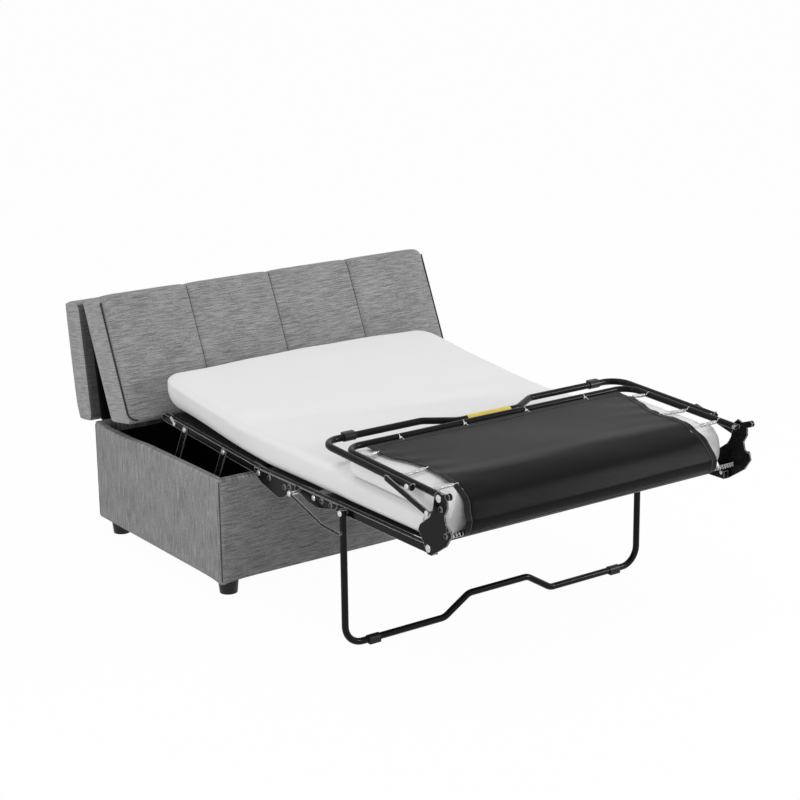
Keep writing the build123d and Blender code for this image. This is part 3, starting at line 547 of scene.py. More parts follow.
def cut_block(size, cuts):
    """A block from the origin to size, with edge loops at the given places on each axis."""
    bm = bmesh.new()
    bmesh.ops.create_cube(bm, size=1)
    bmesh.ops.translate(bm, verts=bm.verts, vec=(0.5, 0.5, 0.5))
    bmesh.ops.scale(bm, verts=bm.verts, vec=size)
    for axis in range(3):
        cut_across(bm, axis, size[axis], cuts[axis])
    return bm


def round_edges(bm, size, radius):
    """Pull the vertices near the block's edges in to a rounded edge."""
    for vertex in bm.verts:
        inner = Vector([min(max(part, radius), whole - radius)
                        for part, whole in zip(vertex.co, size)])
        away = vertex.co - inner
        if away.length > 1e-9:
            outer = max(abs(part) for part in away)
            vertex.co = inner + away.normalized() * outer


def lay_cloth(bm):
    """UV in metres on each face, with the slubs upright on the end faces."""
    layer = bm.loops.layers.uv.new("cloth")
    for face in bm.faces:
        normal = face.normal
        side = max(range(3), key=lambda index: abs(normal[index]))
        for loop in face.loops:
            x, y, z = loop.vert.co
            if side == 0:
                loop[layer].uv = (z, y)
            elif side == 1:
                loop[layer].uv = (x, z)
            else:
                loop[layer].uv = (x, y)


def smooth_piece(piece):
    """One level of subdivision rounds what the cuts leave faceted."""
    modifier = piece.modifiers.new("round", "SUBSURF")
    modifier.levels = modifier.render_levels = 1


def hand_over(piece, body, node_slot, *nodes):
    """Attach a finished piece to its body and hide the CAD nodes it stands for."""
    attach(piece, body)
    if nodes:
        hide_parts(*nodes)


def panel_matrix(origin, down_angle):
    """Panel frame: X across, Y down the panel, Z out of its face; origin in (y, z)."""
    angle = math.radians(down_angle)
    down = Vector((0, math.cos(angle), math.sin(angle)))
    out = Vector((0, math.sin(angle), -math.cos(angle)))
    across = Vector((1, 0, 0))
    return Matrix((
        (across.x, down.x, out.x, 0), (across.y, down.y, out.y, origin[0]),
        (across.z, down.z, out.z, origin[1]), (0, 0, 0, 1),
    ))


def clamp(value):
    """The value, held between 0 and 1."""
    return min(1.0, max(0.0, value))


def bell(value, centre, width):
    """1 at the centre, falling off smoothly on both sides."""
    return math.exp(-((value - centre) / width) ** 2)


def ease(value, start, end):
    """0 before start, 1 after end, smooth between them; start may be above end."""
    share = clamp((value - start) / (end - start))
    return share * share * (3 - 2 * share)


def arch(share):
    """0 at both ends of a length and 1 in its middle, steep at the ends."""
    return math.sin(math.pi * clamp(share)) ** 0.5


def edge_round(distance, radius):
    """0 on the flat, up to 1 at the edge, along a quarter circle."""
    share = clamp(1 - distance / radius)
    return 1 - math.sqrt(1 - share * share)


def round_profile(vertex, size, corner):
    """Round the four long corners of a block that runs along X."""
    spot = [vertex.co.y, vertex.co.z]
    inner = [min(max(part, corner), whole - corner) for part, whole in zip(spot, size[1:])]
    away = Vector((spot[0] - inner[0], spot[1] - inner[1]))
    if away.length > 1e-9:
        away *= max(abs(away.x), abs(away.y)) / away.length
        vertex.co.y, vertex.co.z = inner[0] + away.x, inner[1] + away.y


def wire_piece(name, lines, radius, material):
    """Round wires through the given points, turned into one mesh."""
    curve = bpy.data.curves.new(name, "CURVE")
    curve.dimensions = "3D"
    curve.bevel_depth = radius
    curve.bevel_resolution = 1
    curve.use_fill_caps = True
    for line in lines:
        spline = curve.splines.new("POLY")
        spline.points.add(len(line) - 1)
        for point, spot in zip(spline.points, line):
            point.co = (*spot, 1)
    holder = link_object(name + "_line", curve)
    mesh = bpy.data.meshes.new_from_object(holder)
    bpy.data.objects.remove(holder)
    mesh.name = name
    for polygon in mesh.polygons:
        polygon.use_smooth = True
    mesh.materials.clear()
    mesh.materials.append(material)
    return link_object(name, mesh)


# --- Lid: the two upholstered panels -----------------------------------------------
LID_WIDTH = 1.2
HINGE = place(378, 356.2)
REAR_UP = 82.0
REAR_LENGTH = 0.375
REAR_THICK = 0.110
BOARD_THICK = 0.015
APEX = (HINGE[0] + REAR_LENGTH * math.cos(math.radians(REAR_UP)),
        HINGE[1] + REAR_LENGTH * math.sin(math.radians(REAR_UP)))
FRONT_DOWN = -114.0
FRONT_TOP = 0.013
FRONT_LENGTH = 0.406
FRONT_BACK_EDGE = 0.384
FRONT_THICK = 0.146
# the pads start a hair off their boards
PAD_GAP = 0.001
FRONT_DEEP = FRONT_THICK - BOARD_THICK - PAD_GAP
FRONT_CROWN = 0.004
FRONT_EDGE_ROUND, FRONT_END_ROUND, FRONT_EDGE_CUTS = 0.020, 0.010, 0.024
# the seams between the channels of the front panel, and how its cover puckers beside them
CHANNELS = 4
CHANNEL_SEAMS = [LID_WIDTH / CHANNELS * index for index in range(1, CHANNELS)]
CHANNEL_DEEP, SEAM_WIDE = 0.010, 0.0075
PUCKER_HIGH, PUCKER_WIDE, PUCKER_STEP = 0.0012, 0.02, 0.034
END_DRAWN, END_DRAWN_WIDE = 0.009, 0.016
# its top edge, at the seams and at the two corners
TOP_DIP, TOP_DIP_WIDE, TOP_DIP_REACH = 0.0045, 0.014, 0.07
TOP_CORNER_DROP, TOP_CORNER = 0.016, 0.035
# its side gussets, their seams and the tuck at the end of each seam
GUSSET_SWELL = 0.008
GUSSET_SEAM_DEEP, GUSSET_SEAM_OUT, GUSSET_SEAM_RADIUS = 0.0070, 0.0004, 0.0030
TUCK_START = FRONT_LENGTH - 0.034
TUCK_WIDE, TUCK_DOWN, TUCK_RISE = 0.026, 0.022, 0.0055
THREAD_PROUD, THREAD_RADIUS = 0.0006, 0.0015
# the rear panel
REAR_EDGE_ROUND, REAR_END_ROUND, REAR_EDGE_CUTS = 0.026, 0.012, 0.03
REAR_CROWN = 0.005
REAR_LOW_ROUND, REAR_LOW_REACH = 0.026, 0.06


def from_seam(x):
    """Distance across the front panel from the nearest seam between channels."""
    return min(abs(x - seam) for seam in CHANNEL_SEAMS)


def front_face(x, y):
    """How far the front panel's face stands out at a place, from its seams and crown."""
    crown = arch(y / FRONT_LENGTH)
    drawn = CHANNEL_DEEP * math.exp(-from_seam(x) / SEAM_WIDE)
    pucker = PUCKER_HIGH * math.exp(-from_seam(x) / PUCKER_WIDE) * math.sin(
        2 * math.pi * y / PUCKER_STEP)
    end_drawn = END_DRAWN * math.exp(-min(x, LID_WIDTH - x) / END_DRAWN_WIDE)
    return FRONT_CROWN * crown - drawn + pucker * crown - end_drawn


def top_edge_drop(x, y):
    """The top edge dips at each channel seam and rounds off at its two corners."""
    dip = TOP_DIP * math.exp(-from_seam(x) / TOP_DIP_WIDE)
    corner = TOP_CORNER_DROP * edge_round(min(x, LID_WIDTH - x), TOP_CORNER)
    return (dip + corner) * max(0.0, 1 - y / TOP_DIP_REACH)


def padded_block(size, counts, profile_round, end_round, edge_reach, near_seams=(), back=0):
    """A block with a round profile and round ends; its ends take the cloth with painted light,
    its back the cloth that back picks.
    """
    bm = cut_block(size, (grid_cuts(size[0], counts[0], end_round) + list(near_seams),
                          grid_cuts(size[1], counts[1], edge_reach),
                          grid_cuts(size[2], counts[2], edge_reach)))
    lay_cloth(bm)
    for face in bm.faces:
        # end faces take slot 1: on the lid pads, the sofa cloth with painted light
        if abs(face.normal.x) > FACING:
            face.material_index = 1
        # the back takes the slot that back gives: on the rear pad, the cloth with painted shade
        elif face.normal.z < -FACING:
            face.material_index = back
    for vertex in bm.verts:
        round_profile(vertex, size, profile_round)
    round_edges(bm, size, end_round)
    return bm


def front_place(x, y, z):
    """From the flat block of the front panel to its wedge shape, in the panel's frame."""
    face_share = max(0.0, z / FRONT_DEEP)
    y_share = y / FRONT_LENGTH
    start = FRONT_TOP * face_share
    end = FRONT_BACK_EDGE + (FRONT_TOP + FRONT_LENGTH - FRONT_BACK_EDGE) * face_share
    return Vector((x - LID_WIDTH / 2, start + (end - start) * y_share,
                   BOARD_THICK + PAD_GAP + z))


def lid_front_pad():
    """Front panel: a padded face with sewn channels between two side gussets in the cloth with
    painted light.
    """
    near_seams = [seam + step * SEAM_WIDE / 3
                  for seam in CHANNEL_SEAMS for step in range(-6, 7)]
    bm = padded_block((LID_WIDTH, FRONT_LENGTH, FRONT_DEEP), (60, 40, 6), FRONT_EDGE_ROUND,
                      FRONT_END_ROUND, FRONT_EDGE_CUTS, near_seams)
    for vertex in bm.verts:
        x, y, z = vertex.co
        face_share = max(0.0, z / FRONT_DEEP)
        z += front_face(x, y) * face_share ** 3
        y += top_edge_drop(x, y) * min(1.0, face_share)
        # the side gussets swell a little between their seams
        end_share = 2 * abs(x / LID_WIDTH - 0.5)
        swell = arch(y / FRONT_LENGTH) * math.sin(math.pi * clamp(face_share))
        x += math.copysign(GUSSET_SWELL, x - LID_WIDTH / 2) * swell * end_share ** 40
        vertex.co = front_place(x, y, z)
    bmesh.ops.transform(bm, matrix=panel_matrix(APEX, FRONT_DOWN), verts=bm.verts)
    piece = new_piece("lid_front_pad", bm, SOFA_CLOTH, SOFA_CLOTH_PAINTED_LIGHT)
    smooth_piece(piece)
    hand_over(piece, "lid_front", "lid_fabric", "lid_front_cushion")


def lid_front_seams():
    """Thread lines in the channels, darkened with painted shade, and a cord of painted shade
    along the tucked seam between the face and each gusset.
    """
    matrix = panel_matrix(APEX, FRONT_DOWN)
    lines = []
    for seam in CHANNEL_SEAMS:
        lines.append([
            matrix @ front_place(seam, y, FRONT_DEEP + front_face(seam, y) + THREAD_PROUD)
            for y in spread(0.011, FRONT_LENGTH - 0.008, 40)])
    ends = []
    depth = FRONT_DEEP - GUSSET_SEAM_DEEP
    for end, turn in ((-GUSSET_SEAM_OUT, 1), (LID_WIDTH + GUSSET_SEAM_OUT, -1)):
        line = [matrix @ front_place(end, y, depth)
                for y in spread(FRONT_EDGE_CUTS, TUCK_START, 30)]
        # the seam ends in a small tuck that curls on to the face
        for angle in spread(0, math.pi / 2, 8):
            line.append(matrix @ front_place(
                end + turn * TUCK_WIDE * (1 - math.cos(angle)),
                TUCK_START + TUCK_DOWN * math.sin(angle), depth + TUCK_RISE * math.sin(angle)))
        ends.append(line)
    for name, group_of_lines, radius, material in (
            ("lid_channel_seams", lines, THREAD_RADIUS, SEAM_THREAD_AND_SHADE),
            ("lid_gusset_seams", ends, GUSSET_SEAM_RADIUS, SEAM_SHADE)):
        piece = wire_piece(name, group_of_lines, radius, material)
        hand_over(piece, "lid_front", "lid_fabric")


def lid_rear_pad():
    """Rear panel: one padded slab, with painted shade on the side that faces its board."""
    deep = REAR_THICK - BOARD_THICK
    bm = padded_block((LID_WIDTH, REAR_LENGTH, deep), (40, 24, 6), REAR_EDGE_ROUND,
                      REAR_END_ROUND, REAR_EDGE_CUTS, back=2)
    for vertex in bm.verts:
        x, y, z = vertex.co
        face_share = max(0.0, z / deep)
        z += REAR_CROWN * arch(y / REAR_LENGTH) * face_share ** 3
        # the lower outer edge is a large soft round
        corner = max(0.0, 1 - y / REAR_LOW_REACH) * face_share ** 4
        z -= REAR_LOW_ROUND * corner ** 2
        vertex.co = Vector((x - LID_WIDTH / 2, y, -BOARD_THICK - z))
    up = math.radians(REAR_UP)
    matrix = Matrix(((1, 0, 0, 0), (0, math.cos(up), -math.sin(up), HINGE[0]),
                     (0, math.sin(up), math.cos(up), HINGE[1]), (0, 0, 0, 1)))
    bmesh.ops.transform(bm, matrix=matrix, verts=bm.verts)
    piece = new_piece("lid_rear_pad", bm, SOFA_CLOTH, SOFA_CLOTH_PAINTED_LIGHT, SOFA_CLOTH_PAINTED_SHADE)
    smooth_piece(piece)
    hand_over(piece, "lid_rear", "lid_fabric", "lid_rear_cushion")


lid_front_pad()
lid_front_seams()
lid_rear_pad()


# --- Storage box: padded cover and black lining ------------------------------------
BOX_LOW, BOX_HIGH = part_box("box_cover")
BOX_CORNER = 0.016
CORNER_DROOP, DROOP_WIDE, DROOP_HIGH = 0.010, 0.028, 0.08
# how far the rim has gone in and up at each step over the top edge
RIM_FOLD = ((0.0010, 0.0050), (0.0042, 0.0088), (0.0090, 0.0108), (0.0140, 0.0114),
            (0.0200, 0.0098), (0.0252, 0.0060), (0.0280, -0.001), (0.0284, -0.012),
            (0.0284, -0.028))
# from here in, the rim takes a darker copy of the sofa cloth: painted shade over its top and down
# its inner side
RIM_SHADE_FROM = 0.008
# the rim is thinner where the lid swings over it, and dips at the front
RIM_THIN_START, RIM_THIN_END, RIM_THINNER = (0.04, 0.17), (0.30, 0.345), 0.75
RIM_DIP, RIM_DIP_WIDE, RIM_DIP_START = 0.004, 0.45, (-0.33, -0.37)
# how far the cover goes in below the box
BOTTOM_TUCK = (0.0048, 0.024)
BOTTOM_DOWN = 0.001
CORNER_SEAM_IN, CORNER_SEAM_RADIUS = 0.0040, 0.0016
LINING_SKIN, LINING_WAVE = 0.002, 0.0004


def open_edges(bm, wanted):
    """Edges at an opening whose two ends are both at a wanted height."""
    return [edge for edge in bm.edges if edge.is_boundary
            and all(wanted(vertex.co.z) for vertex in edge.verts)]


def extruded(bm, edges):
    """The vertices, edges and faces made by extruding open edges."""
    made = bmesh.ops.extrude_edge_only(bm, edges=edges)["geom"]
    return [[item for item in made if isinstance(item, kind)]
            for kind in (bmesh.types.BMVert, bmesh.types.BMEdge, bmesh.types.BMFace)]


def pull_in(vertex, size, pull):
    """Bring a vertex of the box cover in to a distance from its outside."""
    for axis in (0, 1):
        reach = min(abs(vertex.co[axis]), size[axis] / 2 - pull)
        vertex.co[axis] = math.copysign(reach, vertex.co[axis])


def box_upholstery():
    """The padded cover round the box, open above and below, with a rolled top edge."""
    size = BOX_HIGH - BOX_LOW
    across = grid_cuts(size.x, 48, 0.02, 5)
    deep = grid_cuts(size.y, 32, 0.02, 5)
    tall = grid_cuts(size.z, 14, 0.012, 3)
    bm = cut_block(size, (across, deep, tall))
    lay_cloth(bm)
    ends = [face for face in bm.faces if abs(face.normal.z) > FACING]
    bmesh.ops.delete(bm, geom=ends, context="FACES")
    bmesh.ops.translate(bm, verts=bm.verts, vec=(-size.x / 2, -size.y / 2, 0))
    keep_x, keep_y = size.x / 2 - BOX_CORNER, size.y / 2 - BOX_CORNER
    for vertex in bm.verts:
        x, y, z = vertex.co
        inner = Vector((min(max(x, -keep_x), keep_x), min(max(y, -keep_y), keep_y), 0))
        away = Vector((x, y, 0)) - inner
        if away.length > 1e-9:
            flat = inner + away.normalized() * BOX_CORNER
            x, y = flat.x, flat.y
        # the cover hangs a little lower at its two front corners
        from_corner = Vector((size.x / 2 - abs(x), size.y / 2 + y)).length
        z -= CORNER_DROOP * math.exp(-from_corner / DROOP_WIDE) * max(0.0, 1 - z / DROOP_HIGH)
        vertex.co = Vector((x, y, z))
    # inner wall of the padded rim: fold the top edge over and down
    top = open_edges(bm, lambda z: z > size.z - NEAR)
    for pull, rise in RIM_FOLD:
        vertices, top, faces = extruded(bm, top)
        for vertex in vertices:
            x, y = vertex.co.xy
            thin = ease(y, *RIM_THIN_START) * (1 - ease(y, *RIM_THIN_END))
            dip = RIM_DIP * bell(x, 0, RIM_DIP_WIDE) * ease(y, *RIM_DIP_START)
            vertex.co.z = size.z + (rise * (1 - RIM_THINNER * thin) if rise > 0 else rise) - dip
            pull_in(vertex, size, pull)
        # the inner faces of the rim take the cloth with painted shade
        if pull > RIM_SHADE_FROM:
            for face in faces:
                face.material_index = 1
    bottom = open_edges(bm, lambda z: z < NEAR)
    for pull in BOTTOM_TUCK:
        vertices, bottom, _ = extruded(bm, bottom)
        for vertex in vertices:
            pull_in(vertex, size, pull)
            vertex.co.z = -BOTTOM_DOWN
    bmesh.ops.translate(bm, verts=bm.verts, vec=(0, BOX_MIDDLE_Y, BOX_LOW.z))
    piece = new_piece("box_upholstery", bm, SOFA_CLOTH, SOFA_CLOTH_RIM_PAINTED_SHADE)
    hand_over(piece, "box", "box_fabric", "box_cover")


box_upholstery()


def box_corner_seams():
    """The sewn seams down the four corners of the box cover, as threads darkened with painted
    shade of the seam.
    """
    half_x = BOX_HIGH.x - CORNER_SEAM_IN
    half_y = (BOX_HIGH.y - BOX_LOW.y) / 2 - CORNER_SEAM_IN
    heights = spread(BOX_LOW.z + 0.002, BOX_HIGH.z + 0.001, 6)
    lines = [[(x, y, z) for z in heights] for x in (-half_x, half_x)
             for y in (BOX_MIDDLE_Y - half_y, BOX_MIDDLE_Y + half_y)]
    piece = wire_piece("box_corner_seams", lines, CORNER_SEAM_RADIUS, SEAM_THREAD_AND_SHADE)
    hand_over(piece, "box", "box_fabric")


box_corner_seams()


def box_lining():
    """Black lining glued to the inside of the boards, with a flat floor."""
    low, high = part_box("box_lining")
    size = high - low
    bm = cut_block(size, (spread(0, size.x, 30), spread(0, size.y, 20), spread(0, size.z, 8)))
    lay_cloth(bm)
    bmesh.ops.delete(bm, geom=[face for face in bm.faces if face.normal.z > FACING],
                     context="FACES")
    for vertex in bm.verts:
        x, y, z = vertex.co
        wave = LINING_WAVE * math.sin(31 * x + 17 * y) * math.sin(23 * z + 9 * x)
        for axis in (0, 1):
            from_middle = vertex.co[axis] - size[axis] / 2
            if abs(from_middle) > size[axis] / 2 - NEAR:
                vertex.co[axis] -= math.copysign(LINING_SKIN / 2 + wave, from_middle)
    bmesh.ops.translate(bm, verts=bm.verts, vec=(low.x, low.y, low.z + 0.0005))
    piece = new_piece("box_lining_cloth", bm, LINING_CLOTH)
    solid = piece.modifiers.new("cloth", "SOLIDIFY")
    solid.thickness = 0.001
    solid.offset = 0
    hand_over(piece, "box", "lining_cloth", "box_lining")


box_lining()

# --- Mattress ----------------------------------------------------------------------
MATTRESS_HALF = 0.484
HEAD_HINGE_Y, BODY_HINGE_Y = y_at(-455), y_at(-735)
REAR_Y = y_at(130)
KNEE_START_Y = y_at(-355)
KNEE_SPLIT_Y = y_at(-595)
STEP_Y, STEP_END_Y = y_at(-823), y_at(-850)
FOLD_Y = y_at(-1196)
LOW_Z = 0.39675
MATTRESS_THICK = 0.088
HEAD_EXTRA = 0.019
HEAD_SLOPE = 36 / 545
FOOT_SLOPE = math.tan(math.radians(2.6))
FOOT_PLANE_Z = 0.531
FOOT_FRAME_HALF = 0.0095
# the two layers lie this far from the plane where they meet
LAYER_GAP = 0.0005
# the bend beyond the fold, and the rounded edges there and on the upper layer
FOLD_REACH = 0.070
FOLD_EDGE = 0.03
# the lower layer's outline and edges, as (over the body, how much more at the head):
# share of the thickness that the lower and upper edge take, their reach, and its width
LOW_SHARE, LOW_REACH = (0.34, 0.38), (0.036, 0.036)
HIGH_SHARE, HIGH_REACH = (0.22, -0.08), (0.022, 0.0)
WIDER = (1.012, 0.012)
EDGE_CUTS = 0.072
PLAN_CORNER = 0.060
SIDE_CROWN, HEAD_CROWN = 0.006, 0.003
CREASE_DEEP, CREASE_WIDE, CREASE_LEAN = 0.004, 0.05, 0.25
# unrest of its top: height, then the rates across and along of two crossing waves
MATTRESS_WAVES = ((0.003, (6.1, 2.2), (-1.3, 3.7)), (0.0012, (21, 4), (-6, 17)))


def foot_plane(y):
    """Middle plane of the folded foot frame and its deck cloth."""
    return FOOT_PLANE_Z + (y - y_at(-1294)) * FOOT_SLOPE


def foot_under(y):
    """Underside of the folded foot frame."""
    return foot_plane(y) - FOOT_FRAME_HALF


def layers_meet(y):
    """Height at which the folded layer lies on the one below."""
    return (LOW_Z + foot_under(y)) / 2


def mattress_bottom(y):
    """Top of the deck cloths, which slope up over the head section."""
    return LOW_Z + max(0.0, y - HEAD_HINGE_Y) * HEAD_SLOPE


def mattress_top(y):
    """Thicker at the head, level over the body, pressed down under the folded layer."""
    if y >= KNEE_START_Y:
        share = (y - KNEE_START_Y) / (REAR_Y - KNEE_START_Y)
        return mattress_bottom(y) + MATTRESS_THICK + HEAD_EXTRA * share
    if y >= STEP_Y:
        return mattress_bottom(y) + MATTRESS_THICK
    step = ease(y, STEP_Y, STEP_END_Y)
    pressed = layers_meet(y) - LAYER_GAP
    return (1 - step) * (LOW_Z + MATTRESS_THICK) + step * pressed


def keep_between(bm, axis, low, high):
    """Cut the mesh to the stretch between two planes and close the cuts, kept sharp."""
    for bound, side in ((low, -1), (high, 1)):
        if bound is None:
            continue
        cut = bmesh.ops.bisect_plane(bm, geom=everything(bm), dist=1e-6,
                                     plane_co=AXES[axis] * bound, plane_no=AXES[axis] * side,
                                     clear_outer=True)["geom_cut"]
        rim = [item for item in cut if isinstance(item, bmesh.types.BMEdge)]
        bmesh.ops.holes_fill(bm, edges=rim, sides=0)
        for edge in rim:
            if edge.is_valid:
                edge.smooth = False


def rounded_plan(x, y, rear):
    """A place of the lower layer, moved in where the layer's rear corners are round."""
    keep_x, keep_y = MATTRESS_HALF - PLAN_CORNER, rear - PLAN_CORNER
    if abs(x) <= keep_x or y <= keep_y:
        return x, y
    reach = Vector((abs(x) - keep_x, y - keep_y))
    longest = max(reach.x, reach.y)
    if longest > 1e-9:
        reach *= longest / reach.length
    return math.copysign(keep_x + reach.x, x), keep_y + reach.y


def top_unrest(x, y):
    """How far the top of the lower layer stands out at a place, from its crown and creases."""
    middle = math.cos(min(1.0, abs(x) / MATTRESS_HALF) * math.pi / 2)
    crown = SIDE_CROWN * middle ** 0.5 + HEAD_CROWN * ease(y, REAR_Y - 0.25, REAR_Y)
    crease = CREASE_DEEP * bell(y + CREASE_LEAN * x, HEAD_HINGE_Y + 0.02, CREASE_WIDE)
    waves = sum(high * math.sin(one[0] * x + one[1] * y) * math.sin(two[0] * x + two[1] * y)
                for high, one, two in MATTRESS_WAVES)
    return crown - crease + waves


def mattress_block():
    """The lower layer of the mattress in one piece, from its head end to the fold."""
    rear = REAR_Y - 0.003
    length = rear - FOLD_Y
    size = (2 * MATTRESS_HALF, length, 1.0)
    across = grid_cuts(size[0], 60, EDGE_CUTS, 12)
    along = grid_cuts(length, 90, EDGE_CUTS, 12)
    bm = cut_block(size, (across, along, spread(0, 1, 6)))
    lay_cloth(bm)
    for vertex in bm.verts:
        x, y, z = vertex.co
        x -= MATTRESS_HALF
        y += FOLD_Y
        from_edge = min(MATTRESS_HALF - abs(x), rear - y)
        x, y = rounded_plan(x, y, rear)
        head = ease(y, KNEE_START_Y, REAR_Y - 0.1)
        low_share, low_reach, high_share, high_reach, wider = (
            body + more * head
            for body, more in (LOW_SHARE, LOW_REACH, HIGH_SHARE, HIGH_REACH, WIDER))
        low, high = mattress_bottom(y), mattress_top(y)
        whole = high - low
        low += low_share * whole * edge_round(from_edge, low_reach)
        high -= high_share * whole * edge_round(from_edge, high_reach)
        x *= wider
        soft = z ** 2 * (1 if y > STEP_Y else 0.2)
        vertex.co = Vector((x, y, low + (high - low) * z + top_unrest(x, y) * soft))
    return bm


def mattress_pieces():
    """The lower layer cut where the sections meet; a stretch on one section is attached to its
    body, one between two sections stays where it lies.
    """
    whole = mattress_block()
    for name, low, high, bodies, node in (
        ("mattress_head_end", KNEE_START_Y, None, ("head_section",), "mattress_head"),
        ("mattress_knee_rear", KNEE_SPLIT_Y, KNEE_START_Y,
         ("head_section", "link_section"), "mattress_knee"),
        ("mattress_knee_front", STEP_END_Y, KNEE_SPLIT_Y,
         ("link_section", "body_section"), "mattress_knee"),
        ("mattress_middle", None, STEP_END_Y, ("body_section",), "mattress_body"),
    ):
        bm = whole.copy()
        keep_between(bm, 1, low, high)
        piece = new_piece(name, bm, MATTRESS_CLOTH)
        mark_cuts_sharp(piece)
        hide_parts(node)
        if len(bodies) == 1:
            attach(piece, bodies[0])
        else:
            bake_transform(piece)
    whole.free()


def mark_cuts_sharp(piece):
    """Flat ends that lie against the next piece keep their own shading."""
    bm = bmesh.new()
    bm.from_mesh(piece.data)
    for edge in bm.edges:
        if len(edge.link_faces) == 2:
            first, second = (face.normal for face in edge.link_faces)
            if first.angle(second, 0) > math.radians(50):
                edge.smooth = False
    bm.to_mesh(piece.data)
    bm.free()


mattress_pieces()


def mattress_foot_piece():
    """The upper layer, under the folded foot section."""
    length = STEP_END_Y - FOLD_Y
    thick = 0.07
    size = (2 * MATTRESS_HALF, length, thick)
    across = grid_cuts(size[0], 60, FOLD_EDGE, 5)
    along = grid_cuts(length, 26, FOLD_EDGE, 5)
    tall = grid_cuts(thick, 4, FOLD_EDGE, 5)
    bm = cut_block(size, (across, along, tall))
    round_edges(bm, size, FOLD_EDGE - 0.001)
    lay_cloth(bm)
    for vertex in bm.verts:
        x, y, z = vertex.co
        x -= MATTRESS_HALF
        y += FOLD_Y
        share = z / thick
        low, high = layers_meet(y) + LAYER_GAP, foot_under(y)
        vertex.co = Vector((x, y, low + (high - low) * share))
    piece = new_piece("mattress_foot_end", bm, MATTRESS_CLOTH)
    hand_over(piece, "foot_section", "mattress_cloth", "mattress_foot")


mattress_foot_piece()


def fold_piece():
    """The bend of the mattress inside the drum of cloth, in two halves."""
    size = (2 * MATTRESS_HALF, 1.0, 1.0)
    start = FOLD_Y - LAYER_GAP
    low, high = LOW_Z, foot_under(FOLD_Y)
    middle = (low + high) / 2
    bm = cut_block(size, (grid_cuts(size[0], 40, FOLD_EDGE, 5),
                          spread(0, 1, 12), spread(0, 1, 18)))
    lay_cloth(bm)
    for vertex in bm.verts:
        x, y, z = vertex.co
        x -= MATTRESS_HALF
        angle = math.pi * (z - 0.5)
        pull = 1 - 0.35 * edge_round(MATTRESS_HALF - abs(x), FOLD_EDGE)
        reach = FOLD_REACH * pull * math.cos(angle) ** 0.8 if abs(z - 0.5) < 0.5 else 0.0
        up = (high - low) / 2 * math.sin(angle)
        vertex.co = Vector((x, start - reach * y, middle + up * (1 - (1 - pull) * 0.3)))
    bmesh.ops.remove_doubles(bm, verts=bm.verts, dist=1e-5)
    for name, bottom, top, bodies in (
        ("mattress_fold_low", None, middle, ("body_section", "fold_bracket")),
        ("mattress_fold_high", middle, None, ("fold_bracket", "foot_section")),
    ):
        part = bm.copy()
        keep_between(part, 2, bottom, top)
        piece = new_piece(name, part, MATTRESS_CLOTH)
        mark_cuts_sharp(piece)
        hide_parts("mattress_fold")
        if bottom is None:
            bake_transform(piece)
        else:
            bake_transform(piece)
    bm.free()


fold_piece()


# --- Deck cloth --------------------------------------------------------------------
DECK_HALF = 0.43
DECK_THICK = 0.0016
# the flat cloths keep this far inside the box of their CAD node
DECK_IN = 0.001
HEM_WIDE = 0.020
HEM_RAISED, GROOVE_DEEP, GROOVE_WIDE = 0.0010, 0.0007, 0.0012
# creases of the foot cloth: at its sides, over its middle, and how far in the sides hold it
SIDE_CREASE, WIDE_CREASE, SIDE_HELD, END_HELD = 0.0016, 0.0008, 0.05, 0.02
# half width of the foot cloth, drawn in before the fold, wider again near it and on the drum
CLOTH_HALF, DRAWN_IN, NEAR_FOLD_OUT, DRUM_OUT = 0.440, 0.034, 0.008, 0.016
LOW_HEM_EXTRA = 0.026
# the hem's row of thread, made light as a painted highlight, lies between these distances from
# its inner edge
THREAD_FAR, THREAD_NEAR = 0.0026, 0.001
DECK_FAR_Y = y_at(-878.4)
DECK_NEAR_Y = y_at(-1196.6)
# the cloth drum round the fold, from its lower edge to the foot deck
DRUM_PROFILE = (place(-1242, 395.25), place(-1281.9, 415), place(-1295, 442),
                place(-1290.1, 462), place(-1260, 504.6), place(-1196.6, 533.6))
DRUM_MIDDLE = 3


def smooth_path(points, steps):
    """Points along a Catmull-Rom curve through the given side-view points."""
    points = [Vector(point) for point in points]
    ends = [2 * points[0] - points[1]] + points + [2 * points[-1] - points[-2]]
    found = []
    for index in range(1, len(ends) - 2):
        before, start, end, after = ends[index - 1:index + 3]
        for step in range(steps):
            t = step / steps
            found.append(0.5 * ((2 * start) + (end - before) * t
                                + (2 * before - 5 * start + 4 * end - after) * t ** 2
                                + (3 * start - before - 3 * end + after) * t ** 3))
    return found + [points[-1]]


def run_lengths(path):
    """Length of the path up to each of its points."""
    lengths = [0.0]
    for first, second in zip(path, path[1:]):
        lengths.append(lengths[-1] + (Vector(second) - Vector(first)).length)
    return lengths


def cloth_sheet(width, path, cuts_across, cuts_along=()):
    """A flat sheet cut to its grid, with the (u, v) run in metres still in x and y."""
    lengths = run_lengths(path)
    bm = bmesh.new()
    bmesh.ops.create_grid(bm, x_segments=1, y_segments=1, size=0.5)
    bmesh.ops.translate(bm, verts=bm.verts, vec=(0.5, 0.5, 0))
    bmesh.ops.scale(bm, verts=bm.verts, vec=(width, lengths[-1], 1))
    cut_across(bm, 0, width, cuts_across)
    cut_across(bm, 1, lengths[-1], lengths + list(cuts_along))
    layer = bm.loops.layers.uv.new("cloth")
    for face in bm.faces:
        for loop in face.loops:
            loop[layer].uv = loop.vert.co.xy
    return bm, lengths


